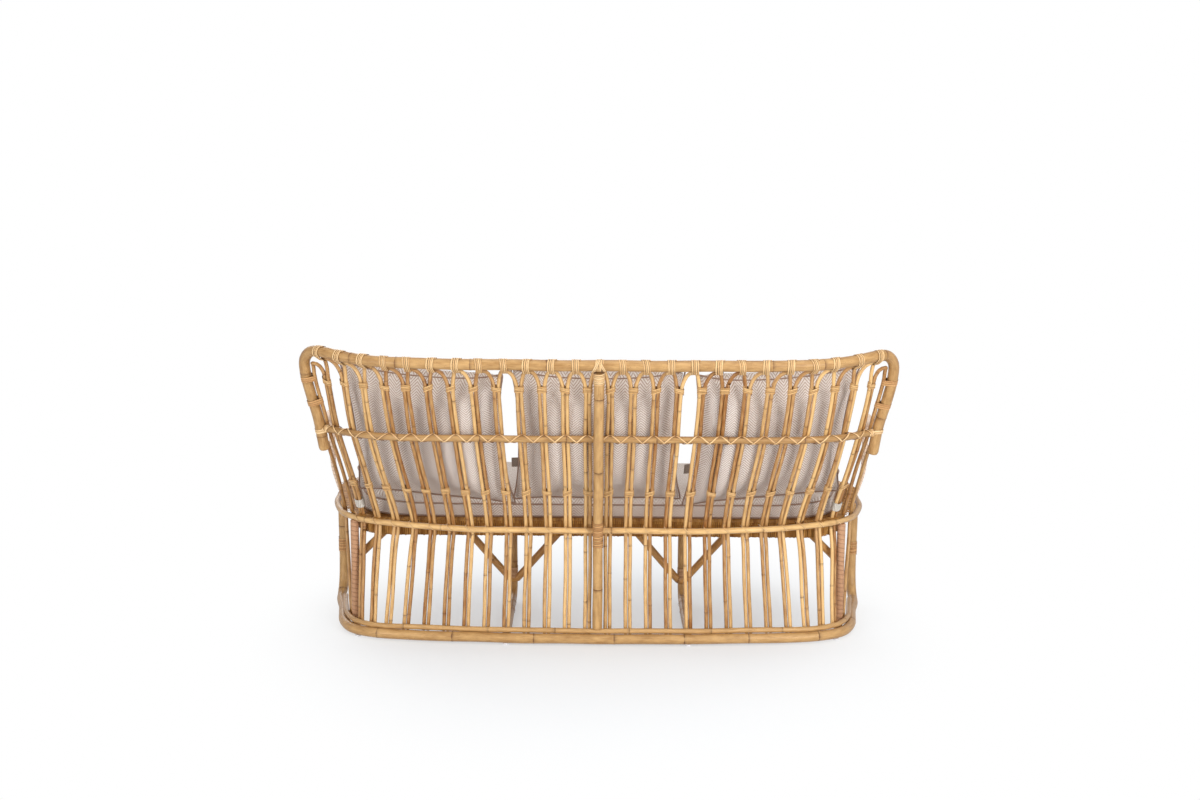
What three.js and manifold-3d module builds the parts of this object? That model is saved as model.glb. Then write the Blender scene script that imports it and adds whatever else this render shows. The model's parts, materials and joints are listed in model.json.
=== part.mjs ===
// Rattan garden sofa: a basket of thin bent canes on thick bent poles, a woven seat and loose cushions.
// Lengths are in millimetres. x runs across the sofa, y from its front (minus) to its back (plus), z is up.
// While it is built, y is zero on the line of the rear floor pole, and "forward" is minus y.
import * as THREE from "three";
import { mergeVertices } from "three/addons/utils/BufferGeometryUtils.js";
import Module from "manifold-3d";

// Driving dimensions of the frame
const touchGap = 0.4; // left between pieces that are lashed together
const buttGap = 2.5; // left where a rail ends against a pole
const topRailRadius = 16.5;
const topRailHeight = 900; // axis at the middle of the back
const topRailBack = 193; // axis behind the rear floor pole
const wingHalfWidth = 880; // axis where the top rail turns down
const midRailRadius = 10.5;
const midRailHeight = 667;
const midRailBack = 102;
const wingStubBelow = 69; // cut lower end of the turned down pole, below the mid rail
const seatRailRadius = 9.5;
const seatRailHeight = 364;
const floorPoleRadius = 15.5;
const floorPoleHalfWidth = 858; // axis of the front legs
const sideRun = 500; // from the rear floor pole forward to the front legs
const kneeRadius = 85; // bend from the floor up into a front leg
const kneeFlare = 4; // the side runs still spread this much through the bend
const toeRailRadius = 8.5; // thin rail on the floor pole, outside the feet of the canes
const glideHeight = 5.5;
const glideRadius = 9;
const glideAlong = 760; // place of the outer rear glides along the floor pole
const caneRadius = 6.5;

// Spacing of the pairs of canes, along each rail from the middle of the back
const pitchFloor = [63.2, 59.7]; // along the back, then round the corner
const pitchSeat = [60.7, 66];
const pitchMid = [65.1, 75];
const pitchTop = [67.1, 70];
const pitchArch = [69.2, 76];
const cornerFrom = 9.5; // from this many spacings off the middle the corner's pitch counts
const archesPerSide = 13;
const endPairAlong = 885; // place of the last pair of canes along the floor pole
const endPairSpreadShare = 1.15; // its canes part at once, so they stand a little wider
const endCaneSeatAlongs = [828, 910]; // where the two canes of the end pair pass the seat rail
const endCaneTuck = THREE.MathUtils.degToRad(98);
const toeTrim = 40; // the toe rail ends this much before the knees

// Centre post, legs and braces
const postRadius = 15;
const runnerRadius = 11.5;
const runnerAcross = 282; // each inner leg from the middle
const cornerLegRadius = 13;
const cornerLegAlong = 843; // place of the rear corner leg along the floor pole
const braceRadius = 10;
const braceFootHeight = 74; // where a V brace crosses its leg
const braceHalfWidth = 270; // from the leg to each upper end
const braceSlopeShare = 0.9; // its arms rise by this share of their run, near the leg
const braceSeatRise = 6; // its ends stand this far up the rear side of the seat's front pole
const cornerBraceFoot = 232;
const cornerBraceReach = 112;

// Arms
const armRadius = 13;
const armRearHeight = 640;
const armFrontHeight = 630;
const armFrontHalfWidth = 897;
const armFrontForward = 512;
const armPostBow = 12;
const armPostSetBack = 26; // top of the hairpin behind the arm's front end
const armPostHalfWidth = 22; // of the hairpin, under its shoulders

// Seat
const seatRearForward = 116; // rear edge of the woven seat, forward of the rear floor pole
const seatAboveRail = 10; // top of the weave at its rear edge, over the axis of the seat rail
const seatDepth = 404;
const seatCaneGap = 1; // from its rear corners to the canes
const seatFrontInset = 11; // front corners inside the axis of the front legs
const seatTiltDegrees = 4.6;
const seatFrameRadius = 14;
const weaveThickness = 7;
const apronHeight = 58;
const seatCornerRadius = 114;

// Cushions
const seatCushionEdge = 54; // height of its side bands
const seatCushionCrown = 26;
const seatCushionDepth = 424;
const seatCushionInset = 6; // rear corners inside the weave's own
const seatCushionDrawIn = 7;
const pillowWidth = 512;
const pillowHeight = 466;
const pillowThickness = 122;
const pillowSeam = 5;
const pillowDrawIn = 16;
const pillowExtraLeanDegrees = 2.7; // over the mean lean of the canes behind it
const pillowYawDegrees = 15; // outer edges of the side cushions come forward
const pillowRollShare = 0.16; // they roll by this share of it, so that their sides stand upright
const pillowSideCentre = 518;
const pillowMiddleCentre = 5;
const pillowCaneGap = 0.4; // from the back cushions to the canes
const pillowSideForward = 26.1; // the side cushions stand this much further forward
const pillowSeatRise = 16.2; // bottom seam over the side bands of the seat cushion
const pillowColumns = 32;
const pillowRings = 7;
const pillowSquareness = 18;
const cushionSquareness = 9;
const cushionLift = 0.5; // from the weave to the cushion
const cushionColumns = 56;
const cushionFlareShare = 0.85; // of the weave's own widening to the front

// Heights that follow from those above
const wingStubHeight = midRailHeight - wingStubBelow;
const frontLegTop = seatRailHeight - seatRailRadius - buttGap;
const seatTopHeight = seatRailHeight + seatAboveRail;
const seatFrontHalfWidth = floorPoleHalfWidth - seatFrontInset;

// Shares of the pieces that they shape
const shoulderShare = 0.745; // place of the upper binding between mid rail and arch top
const belowSeatShare = 0.8; // up to here a leg runs straight from its foot
const archShoulderShares = [[0.1, 0.36], [0.38, 0.78], [0.7, 0.97]]; // across and up, to the arch top
const endArchShare = 0.88; // top of the last arch, from the mid rail's height to the top rail's
const endBoundShares = [0.75, 0.57, 0.38, 0.185]; // likewise, where its outer leg is bound to the pole
const kneeShares = [[0.55, 0.06], [0.9, 0.44], [1, 1]]; // forward and upward through a bend
const postFootShare = 0.15; // the centre post runs straight from its foot up to here below the seat rail
const armPostShoulderShares = [0.2, 0.3, 0.72]; // two places below the hairpin's top, and its width there
const pillowCornerShare = 0.35; // a back cushion is flatter by this share in its corners
const pillowRingShare = 0.8; // draws its rings towards the seam
const seatBendShares = [0.62, 0.36, 0.71]; // of the corner radius, where the seat's poles bend and end

const colour = {
  pole: new THREE.MeshStandardMaterial({ color: 0xc9a163, roughness: 0.5, metalness: 0 }),
  cane: new THREE.MeshStandardMaterial({ color: 0xd3a868, roughness: 0.5, metalness: 0 }),
  wrappedPole: new THREE.MeshStandardMaterial({ color: 0xbf9471, roughness: 0.6, metalness: 0 }),
  weave: new THREE.MeshStandardMaterial({ color: 0xa4773f, roughness: 0.7, metalness: 0 }),
  fabric: new THREE.MeshStandardMaterial({ color: 0xd9ccc5, roughness: 0.95, metalness: 0 }),
  glide: new THREE.MeshStandardMaterial({ color: 0xe4e2e4, roughness: 0.4, metalness: 0 }),
};

const sofa = new THREE.Group();

function addPiece(name, geometry, material, group = sofa) {
  const piece = new THREE.Mesh(geometry, material);
  piece.name = name;
  group.add(piece);
  return piece;
}

const at = (across, forward, height) => new THREE.Vector3(across, -forward, height);

// A smooth line through a few points.
function bent(points) {
  const line = new THREE.CatmullRomCurve3(points, false, "centripetal");
  line.arcLengthDivisions = points.length * 40;
  return line;
}

// The points of one half, from the middle outwards, with their mirror image before them.
function bothSides(half) {
  const other = half.filter((point) => point.x > 0).map((point) => at(-point.x, -point.y, point.z));
  return [...other.reverse(), ...half];
}

// A path whose sections stand at chosen stations, closer together where the line bends.
class StationPath extends THREE.Curve {
  constructor(stations) {
    super();
    this.stations = stations;
  }
  getPoint(t, target = new THREE.Vector3()) {
    const place = THREE.MathUtils.clamp(t, 0, 1) * (this.stations.length - 1);
    const index = Math.min(Math.floor(place), this.stations.length - 2);
    return target.lerpVectors(this.stations[index], this.stations[index + 1], place - index);
  }
  getUtoTmapping(u) {
    return u;
  }
}

const flatOfSix = Math.cos(Math.PI / 6); // poles with flat sides rest on those
const flatOfEight = Math.cos(Math.PI / 8);
const stationTurn = THREE.MathUtils.degToRad(17);
const caneTurn = THREE.MathUtils.degToRad(27);
const turnSamples = 6;

// Stations at the given places of a line, and between them as often as the line turns.
function stationsAt(line, places, turn = stationTurn) {
  const stations = [line.getPoint(places[0])];
  for (let index = 1; index < places.length; index += 1) {
    const from = places[index - 1];
    const span = places[index] - from;
    let turned = 0;
    let heading = line.getTangent(from);
    for (let sample = 1; sample <= turnSamples; sample += 1) {
      const next = line.getTangent(from + (span * sample) / turnSamples);
      turned += next.angleTo(heading);
      heading = next;
    }
    const parts = Math.max(1, Math.ceil(turned / turn));
    for (let part = 1; part <= parts; part += 1) stations.push(line.getPoint(from + (span * part) / parts));
  }
  return stations;
}

// The places of a line's own points, for a line that needs no others.
const ownPlaces = (line) => line.points.map((point, index) => index / (line.points.length - 1));

// A solid pole with a many-sided section along its stations.
function pole(stations, radius, sides = 6) {
  const section = new THREE.Shape();
  for (let side = 0; side < sides; side += 1) {
    const angle = ((side + 0.5) / sides) * 2 * Math.PI;
    const corner = [radius * Math.cos(angle), radius * Math.sin(angle)];
    if (side) section.lineTo(...corner);
    else section.moveTo(...corner);
  }
  section.closePath();
  return new THREE.ExtrudeGeometry(section, {
    extrudePath: new StationPath(stations),
    steps: stations.length - 1,
    bevelEnabled: false,
  });
}

const inwards = (heading) => new THREE.Vector3(heading.y, -heading.x, 0).normalize();

// A rail that runs round the back, with distances counted along it from the middle.
function roundRail(half) {
  const line = bent(bothSides(half));
  const length = line.getLength();
  const share = (along) => THREE.MathUtils.clamp(0.5 + along / length, 0, 1);
  const heading = (along) => line.getTangentAt(share(along));
  const point = (along) => line.getPointAt(share(along));
  return {
    length,
    point,
    heading,
    inside: (along, offset) => point(along).addScaledVector(inwards(heading(along)), offset),
    stations: (alongs) => stationsAt(line, alongs.map((along) => line.getUtoTmapping(share(along)))),
  };
}

// Plans of the rails, from the middle to one side, as shares of their half width and forward run
const floorPlanShares = [
  [0, 0], [0.34, 0.012], [0.652, 0.052], [0.803, 0.09], [0.895, 0.19], [0.945, 0.37], [0.971, 0.64],
];
const seatRailPlanShares = [
  [0, 0], [0.415, 0.007], [0.531, 0.04], [0.647, 0.088], [0.743, 0.15], [0.843, 0.232],
  [0.925, 0.366], [0.968, 0.524], [0.991, 0.68], [1.003, 0.88], [1, 1],
];
const midRailPlanShares = [
  [0, 0], [0.66, 0.035], [0.754, 0.12], [0.824, 0.265], [0.874, 0.445], [0.927, 0.73], [1, 1.02],
];
const topRailShares = [
  [0, 0, 0], [0.42, 0.025, 0.002], [0.625, 0.075, 0.005], [0.716, 0.15, 0.009], [0.784, 0.26, 0.018],
  [0.858, 0.42, 0.034], [0.912, 0.56, 0.053], [0.949, 0.665, 0.061], [0.972, 0.755, 0.05],
  [0.993, 0.85, 0], [1, 0.93, -0.095], [0.999, 1, -0.22], [0.991, 1.07, -0.37],
  [0.977, 1.17, -0.565], [0.964, 1.26, -0.77], [0.955, 1.345, -1],
];

const floorHeight = glideHeight + floorPoleRadius * flatOfEight + touchGap;
const wingDrop = topRailHeight - wingStubHeight;

const topRail = roundRail(
  topRailShares.map(([across, forward, rise]) =>
    at(across * wingHalfWidth, forward * topRailBack - topRailBack, topRailHeight + rise * wingDrop)),
);

// The turned down pole on the right, met at a given height
function wingAlong(height) {
  let along = topRail.length / 2;
  const step = topRailRadius / 4;
  while (along > step && topRail.point(along).z < height) along -= step;
  return along;
}

// Heights between the mid rail and the top rail
const wingHeight = (share) => midRailHeight + share * (topRailHeight - midRailHeight);

const midRailEnd = topRail.point(wingAlong(midRailHeight));
const midRail = roundRail(
  midRailPlanShares.map(([across, forward]) =>
    at(across * midRailEnd.x, forward * (midRailBack - midRailEnd.y) - midRailBack, midRailHeight)),
);
const seatRail = roundRail(
  seatRailPlanShares.map(([across, forward]) =>
    at(across * floorPoleHalfWidth, forward * sideRun, seatRailHeight)),
);

// The floor pole: round the back, forward along both sides, then up as the front legs
const kneeStart = sideRun - kneeRadius;
const kneeAcross = floorPoleHalfWidth - kneeFlare;
const floorPlan = floorPlanShares.map(([across, forward]) =>
  at(across * floorPoleHalfWidth, forward * sideRun, floorHeight));
const floorPole = roundRail([
  ...floorPlan,
  at(kneeAcross, kneeStart, floorHeight),
  ...kneeShares.map(([forward, rise]) =>
    at(floorPoleHalfWidth, kneeStart + forward * kneeRadius, floorHeight + rise * kneeRadius)),
  at(floorPoleHalfWidth, sideRun, (floorHeight + frontLegTop) / 2),
  at(floorPoleHalfWidth, sideRun, frontLegTop),
]);
const floorRail = roundRail([...floorPlan, at(kneeAcross, kneeStart, floorHeight)]);

// The thin toe rail lies on the floor pole's inner shoulder
const toeReach = floorPoleRadius + toeRailRadius + touchGap * 2;
const toeInside = toeRailRadius + touchGap * 5;
const toeRise = Math.sqrt(toeReach ** 2 - toeInside ** 2);

// Distance along a rail after a number of spacings from the middle
const spaced = (count, [pitch, cornerPitch]) =>
  Math.min(count, cornerFrom) * pitch + Math.max(count - cornerFrom, 0) * cornerPitch;
const pairAlong = (pair, pitches) => spaced(pair - 0.5, pitches);
const halfPair = caneRadius + touchGap / 2;
const footHeight = glideHeight + runnerRadius * 2 + touchGap; // the runners pass under the canes
const footOffset = toeInside + toeRailRadius + caneRadius + touchGap * 2.5;

// Distances along a rail where the canes stand against it, both sides, then its ends
function caneAlongs(pitches, end, extra = []) {
  const right = [];
  for (let pair = 1; pair <= archesPerSide; pair += 1) {
    right.push(pairAlong(pair, pitches) - caneRadius, pairAlong(pair, pitches) + caneRadius);
  }
  const half = [...right, ...extra].filter((along) => along < end).concat(end);
  return [...half.map((along) => -along).reverse(), ...half];
}

function addRails() {
  const topAlongs = [topRail.length / 2];
  for (let order = archesPerSide - 1; order > 0; order -= 1) topAlongs.unshift(spaced(order, pitchArch));
  const topStations = topRail.stations([...topAlongs.map((along) => -along).reverse(), 0, ...topAlongs]);
  addPiece("top_rail", pole(topStations, topRailRadius, 8), colour.pole);

  const halfFloor = floorPole.length / 2;
  const kneeAlongs = [floorRail.length / 2, halfFloor];
  const cornerAlongs = caneAlongs(pitchFloor, cornerLegAlong).filter((along) => along > 0);
  const somePairs = cornerAlongs.filter((along, index) => index % 3 === 0);
  kneeAlongs.unshift(...somePairs, cornerLegAlong, endPairAlong);
  const floorAlongs = [...kneeAlongs.map((along) => -along).reverse(), 0, ...kneeAlongs];
  addPiece("floor_pole", pole(floorPole.stations(floorAlongs), floorPoleRadius, 8), colour.pole);

  const nearLeg = [-1, 0, 1].map((step) => cornerLegAlong + step * cornerLegRadius);
  const nearPair = [endPairAlong - halfPair, endPairAlong + halfPair];
  const toeEnd = floorRail.length / 2 - toeTrim;
  const toeAlongs = caneAlongs(pitchFloor, toeEnd, [...nearLeg, ...nearPair]);
  const toeStations = toeAlongs.map((along) => {
    const point = floorRail.inside(along, toeInside);
    point.z += toeRise;
    return point;
  });
  addPiece("toe_rail", pole(toeStations, toeRailRadius), colour.pole);

  const midAlongs = caneAlongs(pitchMid, midRail.length / 2 - topRailRadius - buttGap);
  addPiece("mid_rail", pole(midRail.stations(midAlongs), midRailRadius), colour.pole);
  const seatEnd = seatRail.length / 2 - floorPoleRadius - buttGap;
  const seatAlongs = caneAlongs(pitchSeat, seatEnd, endCaneSeatAlongs);
  addPiece("seat_rail", pole(seatRail.stations(seatAlongs), seatRailRadius), colour.pole);
}

// Canes. Each one is an upturned U: its legs stand beside the neighbours' legs in two pairs
const caneLean = Math.atan2(midRailBack, midRailHeight - seatRailHeight);
const seatOffset = (seatRailRadius + caneRadius + touchGap) / Math.cos(caneLean / 2);
const midOffset = (midRailRadius + caneRadius + touchGap) / Math.cos(caneLean);
const archTuck = THREE.MathUtils.degToRad(30); // how far the arch tops sit under and inside the top rail
const archReach = topRailRadius + caneRadius + touchGap;

const levelRun = spaced(archesPerSide - 2, pitchArch); // beyond it the top rail turns down

// A place beside the top rail, below it and tucked inwards; on the turned pole, towards the middle
function besideTopRail(along, tuck = archTuck, reach = archReach) {
  const heading = topRail.heading(along);
  const level = topRail.heading(Math.sign(along) * Math.min(Math.abs(along), levelRun));
  const inside = inwards(level);
  const below = heading.clone().cross(inside).normalize();
  return topRail
    .point(along)
    .addScaledVector(inside, reach * Math.sin(tuck))
    .addScaledVector(below, reach * Math.cos(tuck));
}

// One cane of a pair stands half a pair off the pair's own place on a rail
const besidePair = (rail, along, offset, half) =>
  rail.inside(along, offset).addScaledVector(rail.heading(along), half * halfPair);

function caneFoot(along, half) {
  const foot = besidePair(floorRail, along, footOffset, half);
  foot.z = footHeight;
  return foot;
}

// One leg of an arch from its foot up to the binding under the arch
function caneLeg(side, pair, half) {
  const place = (pitches) => side * pairAlong(pair, pitches);
  const foot = caneFoot(place(pitchFloor), half);
  const seat = besidePair(seatRail, place(pitchSeat), seatOffset, half);
  const mid = besidePair(midRail, place(pitchMid), midOffset, half);
  const topAlong = place(pitchTop);
  const top = besideTopRail(topAlong).addScaledVector(topRail.heading(topAlong), half * halfPair);
  return [foot, foot.clone().lerp(seat, belowSeatShare), seat, mid, mid.clone().lerp(top, shoulderShare)];
}

// The bow between two bindings and the place where it is lashed to the top rail
function archTop(from, apex, to) {
  const rising = (start) =>
    archShoulderShares.map(([across, up]) => {
      const point = start.clone().lerp(apex, across);
      point.z = start.z + up * (apex.z - start.z);
      return point;
    });
  return [...rising(from), apex, ...rising(to).reverse()];
}

function addCane(name, points) {
  const line = bent(points);
  addPiece(name, pole(stationsAt(line, ownPlaces(line), caneTurn), caneRadius), colour.cane);
}

const mirrored = (points) => points.map((point) => new THREE.Vector3(-point.x, point.y, point.z));

// The end arch's outer leg runs down the turned pole, leaves it at the mid rail and ends at the end pair
function endArchPoints() {
  const near = caneLeg(1, archesPerSide, 1);
  const apexAlong = wingAlong(wingHeight(endArchShare));
  const clear = archReach + buttGap + touchGap * 2;
  const apex = besideTopRail(apexAlong - topRailRadius, 0, clear);
  const bound = endBoundShares.map((share) =>
    besideTopRail(wingAlong(wingHeight(share)), archTuck / 2, clear));
  const mid = midRail.inside(midRail.length / 2 - topRailRadius, midOffset);
  const foot = caneFoot(endPairAlong, -endPairSpreadShare);
  const seat = seatRail.inside(endCaneSeatAlongs[0], seatOffset);
  const down = [mid, seat, foot.clone().lerp(seat, belowSeatShare), foot];
  return [...near, ...archTop(near[4], apex, bound[0]), ...bound, ...down];
}

// The last cane starts beside the cut end of the turned pole
function endCanePoints() {
  const top = besideTopRail(wingAlong(wingStubHeight + topRailRadius), endCaneTuck, archReach + touchGap);
  const foot = caneFoot(endPairAlong, endPairSpreadShare);
  const seat = seatRail.inside(endCaneSeatAlongs[1], seatOffset);
  return [top, seat, foot.clone().lerp(seat, belowSeatShare), foot];
}

function addCanes() {
  const archCount = 2 * archesPerSide + 1;
  for (let index = 0; index < archCount; index += 1) {
    const number = index - archesPerSide;
    const order = Math.abs(number);
    const side = Math.sign(number) || 1;
    const name = `arch_cane_${String(index + 1).padStart(2, "0")}`;
    if (order === archesPerSide) {
      addCane(name, side > 0 ? endArchPoints() : mirrored(endArchPoints()));
      continue;
    }
    const middleTuck = Math.asin((postRadius + caneRadius + touchGap) / archReach);
    const apex = besideTopRail(side * spaced(order, pitchArch), order ? archTuck : middleTuck);
    const near = order ? caneLeg(side, order, side) : caneLeg(-1, 1, 1);
    const far = caneLeg(side, order + 1, order ? -side : -1);
    addCane(name, [...near, ...archTop(near[4], apex, far[4]), ...far.reverse()]);
  }
  addCane("end_cane_left", mirrored(endCanePoints()));
  addCane("end_cane_right", endCanePoints());
}

// The centre post stands on the toe rail, passes outside the two upper rails and ends under the top rail
function addCentrePost() {
  const outside = (rail, radius) => rail.point(0).y + (radius + postRadius + touchGap) / Math.cos(caneLean);
  const foot = at(0, toeInside, floorHeight + toeRise + toeRailRadius);
  const seat = new THREE.Vector3(0, outside(seatRail, seatRailRadius), seatRailHeight);
  const mid = new THREE.Vector3(0, outside(midRail, midRailRadius), midRailHeight);
  const top = topRail.point(0);
  top.z -= (topRailRadius + touchGap) / Math.cos(caneLean) + postRadius * Math.sin(caneLean);
  const line = bent([foot, seat.clone().lerp(foot, postFootShare), seat, mid, top]);
  addPiece("centre_post", pole(stationsAt(line, ownPlaces(line)), postRadius, 8), colour.pole);
}

const seatTilt = THREE.MathUtils.degToRad(seatTiltDegrees);
const seatPoleDrop = weaveThickness + touchGap * 4 + seatFrameRadius; // from the weave's top to its poles
const seatPoleInset = weaveThickness + touchGap * 5 + seatFrameRadius;

// The underside of the seat's poles at a place forward of its rear edge
const underSeatPole = (forward) =>
  seatTopHeight + (forward - seatRearForward) * Math.tan(seatTilt)
  - (seatPoleDrop + seatFrameRadius * flatOfSix + touchGap) / Math.cos(seatTilt);

function addLegs(side, name) {
  // Front inner leg: a runner on the floor from the rear pole, turned up to the seat's front pole
  const frontForward = seatRearForward + (seatDepth - seatPoleInset) * Math.cos(seatTilt);
  const across = side * runnerAcross;
  const bendRadius = kneeRadius;
  const from = -floorPole.point(across).y + floorPoleRadius + touchGap;
  const runnerHeight = glideHeight + runnerRadius;
  const turn = frontForward - bendRadius;
  const legTop = underSeatPole(frontForward) - touchGap;
  const runner = bent([
    at(across, from, runnerHeight),
    at(across, (from + turn) / 2, runnerHeight),
    at(across, turn, runnerHeight),
    ...kneeShares.slice(0, 2).map(([forward, rise]) =>
      at(across, turn + forward * bendRadius, runnerHeight + rise * bendRadius)),
    at(across, frontForward, runnerHeight + bendRadius),
    at(across, frontForward, legTop),
  ]);
  addPiece(`front_leg_${name}`, pole(stationsAt(runner, ownPlaces(runner)), runnerRadius), colour.pole);

  // V brace: one bent pole across the rear side of that leg, up to the seat's front pole
  const braceForward = frontForward - runnerRadius - braceRadius - touchGap * 5;
  const braceTop = underSeatPole(frontForward) + braceSeatRise;
  const braceBend = braceRadius * 4;
  const vee = bent([
    at(across - braceHalfWidth, braceForward, braceTop),
    at(across - braceBend, braceForward, braceFootHeight + braceBend * braceSlopeShare),
    at(across, braceForward, braceFootHeight),
    at(across + braceBend, braceForward, braceFootHeight + braceBend * braceSlopeShare),
    at(across + braceHalfWidth, braceForward, braceTop),
  ]);
  addPiece(`front_brace_${name}`, pole(stationsAt(vee, ownPlaces(vee)), braceRadius), colour.pole);

  // Rear corner leg from the floor up to the seat rail, with a short brace to the seat's rear pole
  const cornerOffset = toeInside + toeRailRadius + cornerLegRadius + touchGap;
  const legFoot = floorRail.inside(side * cornerLegAlong, cornerOffset);
  const upTo = seatRailHeight - seatRailRadius - touchGap;
  const cornerLeg = [legFoot.clone().setZ(glideHeight), legFoot.clone().setZ(upTo)];
  addPiece(`corner_leg_${name}`, pole(cornerLeg, cornerLegRadius, 8), colour.wrappedPole);
  const strutFoot = legFoot.clone().setZ(cornerBraceFoot);
  strutFoot.x -= side * braceRadius;
  strutFoot.y -= (cornerLegRadius + braceRadius) * flatOfSix + touchGap * 2;
  const rearPole = seatRearForward + seatPoleInset;
  const strutTop = at(legFoot.x - side * cornerBraceReach, rearPole + braceRadius / 2, 0);
  strutTop.z = underSeatPole(rearPole) + touchGap * 3;
  const strutSlope = Math.atan2(strutTop.z - cornerBraceFoot, cornerBraceReach);
  strutTop.z -= braceRadius * flatOfSix * Math.cos(strutSlope);
  addPiece(`corner_brace_${name}`, pole([strutFoot, strutTop], braceRadius), colour.pole);
}

// Arm: a pole from the turned down pole forward, carried by a hairpin of thin cane on the front leg
function addArm(side, name) {
  const wing = topRail.point(side * wingAlong(armRearHeight));
  const front = at(side * armFrontHalfWidth, armFrontForward, armFrontHeight);
  const back = wing.clone().lerp(front, (topRailRadius + buttGap + touchGap * 2.5) / wing.distanceTo(front));
  const middle = back.clone().lerp(front, 0.5);
  middle.x += side * armPostBow;
  const line = bent([back, middle, front]);
  addPiece(`arm_${name}`, pole(stationsAt(line, ownPlaces(line)), armRadius, 8), colour.pole);

  const foot = at(side * floorPoleHalfWidth, sideRun, frontLegTop + touchGap * 5.5);
  const armAbove = line.getPointAt(1 - armPostSetBack / line.getLength());
  const apex = armAbove.clone();
  apex.z -= armRadius * flatOfEight + caneRadius * flatOfSix + touchGap * 2;
  const [shoulderDrop, shoulderRise, shoulderWidth] = armPostShoulderShares;
  const legs = (half) => {
    const low = foot.clone();
    low.y += half * halfPair;
    const high = apex.clone().lerp(foot, shoulderDrop);
    high.y = apex.y + half * armPostHalfWidth;
    const mid = low.clone().lerp(high, 0.5);
    mid.x += side * armPostBow;
    return [low, mid, high];
  };
  const shoulder = (half) => {
    const point = apex.clone().lerp(legs(half)[2], shoulderRise);
    point.y = apex.y + half * armPostHalfWidth * shoulderWidth;
    return point;
  };
  const post = [...legs(1), shoulder(1), apex, shoulder(-1), ...legs(-1).reverse()];
  addCane(`arm_post_${name}`, post);
}

// Half the seat's width at its rear edge: as wide as the canes at its rear corners leave room for
function widestRear() {
  const clear = seatRailRadius + caneRadius * 2 + touchGap * 2 + seatCaneGap;
  const rail = [];
  for (let along = 0; along < seatRail.length / 2; along += caneRadius) rail.push(seatRail.point(along));
  const meets = (half) => {
    const front = new THREE.Vector2(seatFrontHalfWidth, -seatRearForward - seatDepth);
    const here = new THREE.Vector2(half, -seatRearForward);
    const end = here.clone().add(front.sub(here).setLength(seatCornerRadius));
    const corner = new THREE.QuadraticBezierCurve(here.clone().setX(half - seatCornerRadius), here, end);
    return corner.getPoints(seatCornerRadius / caneRadius).some((point) =>
      rail.some((place) => Math.hypot(place.x - point.x, place.y - point.y) < clear));
  };
  let half = seatFrontHalfWidth;
  while (half > seatCornerRadius && meets(half)) half -= touchGap;
  return half;
}
const seatRearHalfWidth = widestRear();

// The seat and its cushions, in a frame at the seat's rear edge that is tilted up to the front
function seatOutline(depth, rearHalf, frontHalf, corner) {
  const outline = new THREE.Shape();
  const corners = [[-rearHalf, 0], [rearHalf, 0], [frontHalf, -depth], [-frontHalf, -depth]];
  corners.forEach(([x, y], index) => {
    const before = new THREE.Vector2(...corners[(index + 3) % 4]);
    const after = new THREE.Vector2(...corners[(index + 1) % 4]);
    const here = new THREE.Vector2(x, y);
    const start = here.clone().add(before.sub(here).setLength(corner));
    const end = here.clone().add(after.sub(here).setLength(corner));
    if (index) outline.lineTo(start.x, start.y);
    else outline.moveTo(start.x, start.y);
    outline.quadraticCurveTo(here.x, here.y, end.x, end.y);
  });
  outline.closePath();
  return outline;
}

function slab(outline, thickness, curveSegments = 3) {
  return new THREE.ExtrudeGeometry(outline, { depth: thickness, bevelEnabled: false, curveSegments });
}

const solidKernel = await Module();
solidKernel.setup();

function solidOf(geometry) {
  const plain = geometry.clone();
  plain.deleteAttribute("normal");
  plain.deleteAttribute("uv");
  const merged = mergeVertices(plain);
  return new solidKernel.Manifold(new solidKernel.Mesh({
    numProp: 3,
    vertProperties: merged.attributes.position.array,
    triVerts: new Uint32Array(merged.index.array),
  }));
}

function geometryOf(solid) {
  const mesh = solid.getMesh();
  const geometry = new THREE.BufferGeometry();
  geometry.setAttribute("position", new THREE.BufferAttribute(mesh.vertProperties, 3));
  geometry.setIndex(new THREE.BufferAttribute(mesh.triVerts, 1));
  return geometry;
}

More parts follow.
